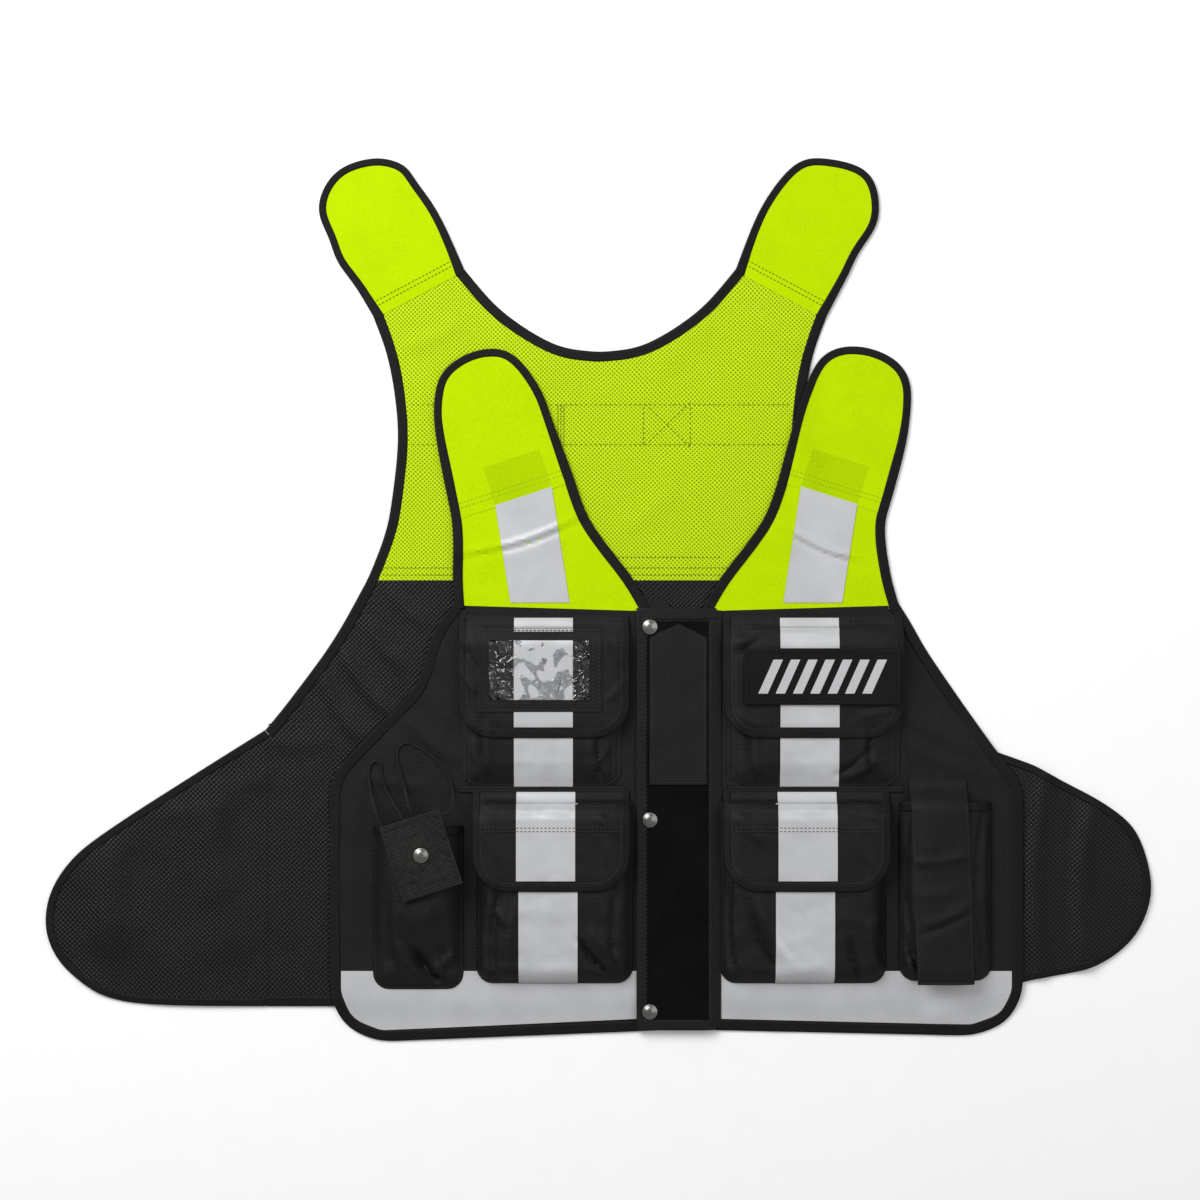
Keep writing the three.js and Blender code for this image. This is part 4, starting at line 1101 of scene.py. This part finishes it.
flapSettings = {"thick": 1.1 * mm, "rootRise": 24 * mm, "binding": 6.4 * mm, "overBag": 1.8 * mm,
                "sideDrop": 3.2 * mm,
                "folds": {"left_upper_flap": [(-112, -40, -102, -62, 2.2, -1.3),
                                              (-116, -60, -105, -78, 2.4, 1.2),
                                              (10, -36, 22, -62, 2.4, -1.4),
                                              (8, -84, 20, -72, 2.4, 1.2), (-98, -100, -84, -110, 3, -1.2)],
                          "right_upper_flap": [(118, -36, 148, -22, 3, 1.5),
                                               (118, -46, 138, -30, 2.6, -1.4),
                                               (224, -98, 250, -92, 3, 1.0),
                                               (120, -96, 140, -108, 3, 1.1)],
                          "left_lower_flap": [(-98, -190, -80, -222, 5, 1.0), (0, -180, 18, -200, 4, 1.2),
                                              (6, -205, 16, -235, 4, 1.0)],
                          "right_lower_flap": [(118, -182, 140, -204, 5, 1.2),
                                               (214, -178, 236, -190, 3, -1.4),
                                               (214, -196, 240, -230, 5, 1.1)],
                          "torch_flap": [(268, -222, 312, -216, 3, 1.3), (276, -282, 318, -262, 2.4, -1.3),
                                         (276, -276, 318, -256, 4, 1.0),
                                         (270, -250, 300, -246, 5, 0.8)]}}
flapTops = {}


def flapShape(node, pocket):
    s = flapSettings
    low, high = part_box(node)
    bag = bagTops[pocket]
    pLow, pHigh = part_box(pocket)

    def top(x, y):
        t = high.y - y
        side = np.minimum(x - low.x, high.x - x)
        rest = high.z - 0.4 * mm - s["sideDrop"] * (1 - ramp(side / (20 * mm))) ** 2
        rest = rest - 2.0 * mm * ramp((y - low.y) / (-14 * mm) + 1) + 1.5 * creases(x, y, s["folds"][node])
        rest = rest + 0.4 * mm * ripple(x, y, 0.045, len(node) + 5) + 0.15 * mm * ripple(x, y, 0.018, 8)
        root = frontTop(x, y) + 1.2 * mm
        z = root + (rest - root) * ramp(t / s["rootRise"])
        under = np.where((x > pLow.x - 10 * mm) & (x < pHigh.x + 10 * mm) & (y < pHigh.y)
                         & (y > pLow.y - 10 * mm), bag(x, y), 0)
        return np.maximum(z, under + s["overBag"])
    return sampled(top, (low.x - 6 * mm, low.y - 6 * mm), (high.x + 6 * mm, high.y + 6 * mm), 2 * mm)


def makeFlap(node, pocket, front):
    s = flapSettings
    low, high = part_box(node)
    top = flapTops[node] = flapShape(node, pocket)
    loop = smoothRun(topLoops(node)[0], 2.8 * mm, True)
    middleX = (low.x + high.x) / 2
    across = (front, node, (middleX, high.y - 1 * mm, 6 * mm), (middleX, high.y - 17 * mm, high.z))
    root = [(low.x, high.y), (high.x, high.y)]
    flap = clothPiece(f"{camel(node)}Cloth", grown(loop, -1 * mm, [(*np.array(root), 2 * mm)]), top,
                      s["thick"], spacing=2.8 * mm)
    dress(flap, materials["oxford"], across=across, replaced=[node])
    return loop, top, across, root


def makePocketFlaps():
    s = flapSettings
    for side in ("left", "right"):
        for level in ("upper", "lower"):
            node = f"{side}_{level}_flap"
            loop, top, across, root = makeFlap(node, f"{side}_{level}_pocket", f"front_{side}")
            edge = edgeRun(loop, root[0], root[1])
            edging = bindingPiece(f"{camel(node)}Binding", besideRun(edge, s["binding"] / 2), s["binding"],
                                  top, s["thick"], 0.6 * mm)
            dress(edging, materials["binding"], across=across)
            sewn = besideRun(edge, s["binding"] + 0.6 * mm)
            stitch(node, sewn[sewn[:, 1] < root[0][1] - 17 * mm], top, thread="greyThread")
            tapePiece(f"{camel(node)}Tape", f"{node}_tape", top, across=across, lift=0.75 * mm,
                      spacing=1.8 * mm)
            low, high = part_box(node)
            y = high.y - (20 if level == "upper" else 33) * mm
            if level == "lower":
                for rise in (0, 3):
                    stitch(node, [(low.x + 8 * mm, y + rise * mm), (high.x - 8 * mm, y + rise * mm)],
                           lifted(top, 0.6 * mm),
                           thread="greyThread")
            for rise in (1.5, 5):
                stitch(f"front_{side}", [(low.x + 2 * mm, high.y - rise * mm),
                                         (high.x - 2 * mm, high.y - rise * mm)], top,
                       thread="greyThread")
    loop, top, across, root = makeFlap("torch_flap", "torch_pouch", "front_right")
    sewn = besideRun(edgeRun(loop, root[0], root[1]), 2.2 * mm)
    stitch("torch_flap", sewn[sewn[:, 1] < root[0][1] - 17 * mm], top, thread="greyThread")


makePockets()
makePocketFlaps()
print("pockets: six bags and five flaps")


windowSettings = {"frameOver": 1.05 * mm, "filmOver": 0.75 * mm, "film": 0.25 * mm, "wrinkle": 1.6 * mm}
badgeSettings = {"border": 2.6 * mm, "edgeRise": 0.35 * mm, "stripes": 7, "stripeWidth": 8 * mm,
                 "lean": 0.45,
                 "markWidth": 0.82, "markHeight": 0.6}


def crumple(x, y):  # sharp little folds running every way, as in soft vinyl that has been bent
    total = 0
    for angle, pitch, phase in ((0.4, 0.031, 1.0), (1.3, 0.042, 2.2), (2.2, 0.026, 0.3), (2.9, 0.037, 4.0),
                                (0.9, 0.02, 5.1)):
        along = (x * math.cos(angle) + y * math.sin(angle)) / pitch + 0.5 * np.sin(120 * x
                + phase) + 0.5 * np.sin(90 * y - phase)
        total = total + 1 - np.abs(np.sin(math.pi * along + phase)) * 1.6
    return total / 5


def makeWindow():
    s = windowSettings
    flap = flapTops["left_upper_flap"]
    low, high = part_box("left_upper_flap")
    middleX = (low.x + high.x) / 2
    across = ("front_left", "left_upper_flap", (middleX, high.y - 1 * mm, 6 * mm),
              (middleX, high.y - 17 * mm, high.z))
    outer, inner = [smoothRun(loop, 3 * mm, True) for loop in topLoops("id_window_frame")]
    onFlap = lifted(flap, s["frameOver"])
    surround = clothPiece("windowSurround", outer, onFlap, 0.9 * mm, [grown(inner, -1.2 * mm)],
                          spacing=2.6 * mm)
    dress(surround, materials["oxford"], across=across, replaced=["id_window_frame"])

    def filmTop(x, y):
        inside = insideBy(x, y, inner)
        return flap(x, y) + s["filmOver"] + s["wrinkle"] * crumple(x, y) * ramp(inside / (7 * mm)) * 0.8
    film = clothPiece("windowFilm", grown(inner, 2 * mm), filmTop, s["film"], spacing=1.6 * mm)
    dress(film, materials["film"], across=across, replaced=["id_window"])
    for loop, inset in ((outer, 1.8 * mm), (outer, -0.0), (grown(inner, 2.2 * mm), 0)):
        run = grown(loop, -inset) if inset else loop
        if inset or loop is not outer:
            stitch("left_upper_flap", np.vstack([run, run[:1]]), onFlap, thread="greyThread")


def makeBadge():
    s = badgeSettings
    low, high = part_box("name_badge")
    size = high - low
    bpy.ops.object.select_all(action="DESELECT")
    bpy.ops.mesh.primitive_cube_add(size=1, location=(low + high) / 2 - Vector((0, 0, 0.15 * mm)))
    badge = bpy.context.object
    badge.name = badge.data.name = "nameBadgePatch"
    badge.scale = (size.x, size.y, size.z - 0.3 * mm)
    bpy.ops.object.transform_apply(location=True, rotation=False, scale=True)
    bpy.ops.object.mode_set(mode="EDIT")
    bpy.ops.mesh.select_all(action="SELECT")
    bpy.ops.mesh.bevel(offset=0.5 * mm, segments=3)
    pickFaces(badge, lambda face: face.normal.z > 0.99)
    bpy.ops.mesh.inset(thickness=0.6 * mm)
    bpy.ops.mesh.extrude_region_move(TRANSFORM_OT_translate={"value": (0, 0, s["edgeRise"])})
    bpy.ops.mesh.inset(thickness=s["border"])
    bpy.ops.mesh.extrude_region_move(TRANSFORM_OT_translate={"value": (0, 0, -s["edgeRise"])})
    bpy.ops.object.mode_set(mode="OBJECT")
    bpy.ops.object.origin_set(type="ORIGIN_CURSOR")
    smoothed(badge, 35)
    dress(badge, materials["badgeTwill"], "name_badge", ["name_badge"])

    centre, face = (low + high) / 2, high.z - 0.3 * mm
    span, tall = size.x * s["markWidth"] / 2, size.y * s["markHeight"] / 2
    lean = tall * s["lean"]
    bars = []
    for place in np.linspace(-span + lean + s["stripeWidth"] / 2, span - lean - s["stripeWidth"] / 2,
                             s["stripes"]):
        bpy.ops.object.select_all(action="DESELECT")
        bpy.ops.mesh.primitive_cube_add(size=1, location=(centre.x + place, centre.y, face + 0.12 * mm))
        bar = bpy.context.object
        bar.scale = (s["stripeWidth"], tall * 2, 0.3 * mm)
        bpy.ops.object.transform_apply(location=True, rotation=False, scale=True)
        bpy.ops.object.mode_set(mode="EDIT")
        for way in (-1, 1):
            pickFaces(bar, lambda face, way=way: face.normal.y * way > 0.9)
            bpy.ops.transform.translate(value=(way * lean, 0, 0))
        bpy.ops.mesh.select_all(action="SELECT")
        bpy.ops.mesh.bevel(offset=0.12 * mm, segments=2)
        bpy.ops.object.mode_set(mode="OBJECT")
        bars.append(bar)
    bpy.ops.object.select_all(action="DESELECT")
    for bar in bars:
        bar.select_set(True)
    bpy.context.view_layer.objects.active = bars[0]
    bpy.ops.object.join()
    bpy.ops.object.origin_set(type="ORIGIN_CURSOR")
    bars[0].name = bars[0].data.name = "nameBadgeStripes"
    dress(bars[0], materials["reflective"], "name_badge")
    edge = np.array([(low.x, low.y), (high.x, low.y), (high.x, high.y), (low.x, high.y),
                     (low.x, low.y)]) + 1e-9
    inset = np.array([(1, 1), (-1, 1), (-1, -1), (1, -1), (1, 1)]) * 1.9 * mm
    for a, b in zip(edge + inset, (edge + inset)[1:]):
        stitch("name_badge", [a, b], lambda x, y: np.full(np.shape(x), high.z - 0.02 * mm), 1.3 * mm,
               1.1 * mm, "blackThread")


def pickFaces(piece, wanted):  # in edit mode: selects the faces that are wanted and nothing else
    bpy.ops.mesh.select_all(action="DESELECT")
    bpy.ops.object.mode_set(mode="OBJECT")
    for polygon in piece.data.polygons:
        polygon.select = bool(wanted(polygon))
    bpy.ops.object.mode_set(mode="EDIT")
    bpy.ops.mesh.select_mode(type="FACE")


makeWindow()
makeBadge()
print("upper flaps: window and badge")


closureSettings = {"top": 6.95 * mm, "thick": 1.1 * mm, "binding": 10 * mm, "pileEdge": 7 * mm,
                   "pileRise": 0.75 * mm,
                   "rootReach": 7 * mm}


def closureTop(x, y):
    s = closureSettings
    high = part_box("closure_flap")[1]
    z = s["top"] + 0.22 * mm * ripple(x, y, 0.06, 31)
    past = ramp((x - high.x + 1 * mm) / (s["rootReach"] - 1 * mm))
    return z + (frontTop(x, y) + 1.3 * mm - z) * past


def makeClosure():
    s = closureSettings
    low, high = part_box("closure_flap")
    across = ("front_right", "closure_flap", (high.x + 3 * mm, 0, high.z), (high.x - 5 * mm, 0, high.z))
    loop = smoothRun(topLoops("closure_flap")[0], 4 * mm, True)
    root = [(high.x, low.y), (high.x, high.y)]
    strip = clothPiece("closureStripCloth", grown(loop, -1 * mm, [(*np.array(root), s["rootReach"])]),
                       closureTop, s["thick"])
    dress(strip, materials["oxford"], across=across, replaced=["closure_flap"])

    edge = smoothRun([(high.x + 3 * mm, high.y), (low.x, high.y), (low.x, low.y), (high.x + 3 * mm, low.y)],
                     4 * mm)
    inset = s["binding"] / 2 - 1 * mm
    middle = smoothRun([(high.x + 3 * mm, high.y - inset), (low.x + inset, high.y - inset),
                        (low.x + inset, low.y + inset),
                        (high.x + 3 * mm, low.y + inset)], 9 * mm)
    edging = bindingPiece("closureBinding", middle, s["binding"], closureTop, s["thick"], 0.6 * mm)
    dress(edging, materials["oxford"], across=across)
    stitch("closure_flap", besideRun(edge, s["binding"] - 2.4 * mm)[3:-3], lifted(closureTop, 0.6 * mm),
           thread="greyThread")

    pileLoop = smoothRun([(low.x + s["pileEdge"], low.y + 8 * mm), (high.x - 4 * mm, low.y + 8 * mm),
                          (high.x - 4 * mm, high.y - 10 * mm), (low.x + s["pileEdge"], high.y - 10 * mm)],
                         4 * mm, True)
    pile = clothPiece("closureLoopPile", pileLoop, lifted(closureTop, s["pileRise"]), 0.9 * mm,
                      spacing=3.5 * mm)
    dress(pile, materials["pile"], across=across)
    right = high.x - 2 * mm
    zigzag = [(right + (1.6 * mm if i % 2 else -1.6 * mm),
               high.y - 10 * mm - i * 3.2 * mm) for i in range(107)]
    stitch("closure_flap", zigzag, lifted(closureTop, 0.4 * mm), 3.58 * mm, 3.3 * mm, "greyThread")
    for x in (high.x + 9.5 * mm, high.x + 14 * mm, high.x + 20 * mm):
        stitch("front_right", [(x, high.y - 4 * mm), (x, low.y + 52 * mm)], lifted(frontTop, 0.1 * mm),
               thread="greyThread")
    makeTab()
    for level in ("top", "middle", "bottom"):
        node = f"snap_cap_{level}"
        snapCap(camel(node), node, "closure_flap")
        frame["nodes"][f"snap_stud_{level}"].data.materials.clear()
        frame["nodes"][f"snap_stud_{level}"].data.materials.append(materials["gunmetal"])


def makeTab():
    s = closureSettings
    low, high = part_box("closure_tab")

    def tabTop(x, y):
        loose = ramp((high.y - 5 * mm - y) / (-60 * mm) + 1)
        z = np.maximum(high.z + 0.25 * mm, closureTop(x, y) + s["pileRise"] + 1.15 * mm)
        return z + 0.5 * mm * loose + 0.3 * mm * ripple(x, y, 0.04, 77)
    loop = smoothRun(topLoops("closure_tab")[0], 3 * mm, True)
    middleX = (low.x + high.x) / 2
    across = ("closure_flap", "closure_tab", (middleX, low.y + 1 * mm, high.z),
              (middleX, low.y + 9 * mm, high.z))
    tab = clothPiece("closureTabCloth", loop, tabTop, 1.1 * mm, spacing=3 * mm)
    dress(tab, materials["oxford"], across=across, replaced=["closure_tab"])
    sewn = edgeRun(loop, (high.x, low.y), (low.x, low.y))
    stitch("closure_tab", besideRun(sewn, 2.4 * mm)[3:-3], tabTop, thread="greyThread")
    for rise in (1.6, 4.2):
        stitch("closure_flap", [(low.x + 1 * mm, low.y + rise * mm), (high.x - 1 * mm, low.y + rise * mm)],
               tabTop, thread="greyThread")


# A press stud's cap from its rim to its crown: shares of its radius and of its height.
capProfile = [(0.86, 0.0), (0.97, 0.06), (1.0, 0.2), (0.99, 0.42), (0.93, 0.6), (0.82, 0.72), (0.76, 0.71),
              (0.7, 0.76),
              (0.55, 0.88), (0.36, 0.96), (0.16, 1.0)]


def snapCap(name, node, body):
    low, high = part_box(node)
    centre, radius = (low + high) / 2, (high.x - low.x) / 2
    bpy.ops.object.select_all(action="DESELECT")
    (first, _), *steps = capProfile
    bpy.ops.mesh.primitive_circle_add(vertices=48, radius=radius * first, fill_type="NGON",
                                      location=(centre.x, centre.y, low.z))
    cap = bpy.context.object
    cap.name = cap.data.name = name
    bpy.ops.object.transform_apply(location=True, rotation=False, scale=False)
    bpy.ops.object.mode_set(mode="EDIT")
    bpy.ops.mesh.select_all(action="SELECT")
    share, height = first, 0.0
    bpy.context.scene.cursor.location = (centre.x, centre.y, low.z)
    for nextShare, nextHeight in steps:
        rise = (nextHeight - height) * (high.z - low.z)
        bpy.ops.mesh.extrude_region_move(TRANSFORM_OT_translate={"value": (0, 0, rise)})
        grow = nextShare / share
        bpy.ops.transform.resize(value=(grow, grow, 1), center_override=(centre.x, centre.y, low.z))
        share, height = nextShare, nextHeight
    bpy.ops.mesh.select_all(action="SELECT")
    bpy.ops.mesh.normals_make_consistent(inside=False)
    bpy.ops.object.mode_set(mode="OBJECT")
    bpy.context.scene.cursor.location = (0, 0, 0)
    bpy.ops.object.origin_set(type="ORIGIN_CURSOR")
    smoothed(cap, 50)
    return dress(cap, materials["gunmetal"], body, [node])


makeClosure()
print("closure: strip, pile, tab and press studs")


def makeRadioPad():
    low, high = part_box("radio_pad")

    def padTop(x, y):
        centre = (low + high) / 2
        return high.z + 0.35 * mm - 0.9 * mm * ramp(np.hypot(x - centre.x,
                                                             y - centre.y) / (60 * mm)) + 0 * x
    loop = smoothRun(topLoops("radio_pad")[0], 3 * mm, True)
    pad = clothPiece("radioPadWebbing", grown(loop, 0.3 * mm), padTop, 1.9 * mm, spacing=3 * mm)
    dress(pad, materials["webbing"], "radio_pad", ["radio_pad"])
    for inset in (2.2 * mm, 4.6 * mm):
        run = grown(loop, -inset)
        stitch("radio_pad", np.vstack([run, run[:1]]), padTop, thread="blackThread")
    snapCap("radioSnapCap", "radio_snap_cap", "radio_pad")
    for side in ("left", "right"):
        strip = frame["nodes"][f"side_hook_strip_{side}"]
        strip.data.materials.clear()
        strip.data.materials.append(materials["pile"])


def makeHiddenTapeEnds():
    # The reflective tape goes on under the strap, and shows through it as a duller patch.
    for side in ("left", "right"):
        node = f"{side}_strap"
        inner, outer = seamEnds[node]
        along, up = outer - inner, upFrom(inner, outer)
        tapeLoop = topLoops(f"{side}_yoke_tape")[0]
        ends = sorted(tapeLoop[np.argsort(-tapeLoop[:, 1])][:2], key=lambda p: p[0])
        a, b = [inner + along * (((p - inner) @ along) / (along @ along)) for p in ends]
        loop = np.array([a, b, b + up * 33 * mm, a + up * 33 * mm])
        if loopArea(loop) < 0:
            loop = loop[::-1]
        patch = clothPiece(f"{side}TapeEndPatch", smoothRun(loop, 4 * mm, True),
                           lifted(frontTop, 0.93 * mm), 0.12 * mm)
        across = (f"front_{side}", node, *acrossSeam(inner, outer, 5 * mm))
        dress(patch, materials["limeBacked"], across=across)


makeRadioPad()
makeHiddenTapeEnds()
stitchPieces()
print("radio pad, hook strips and stitching")
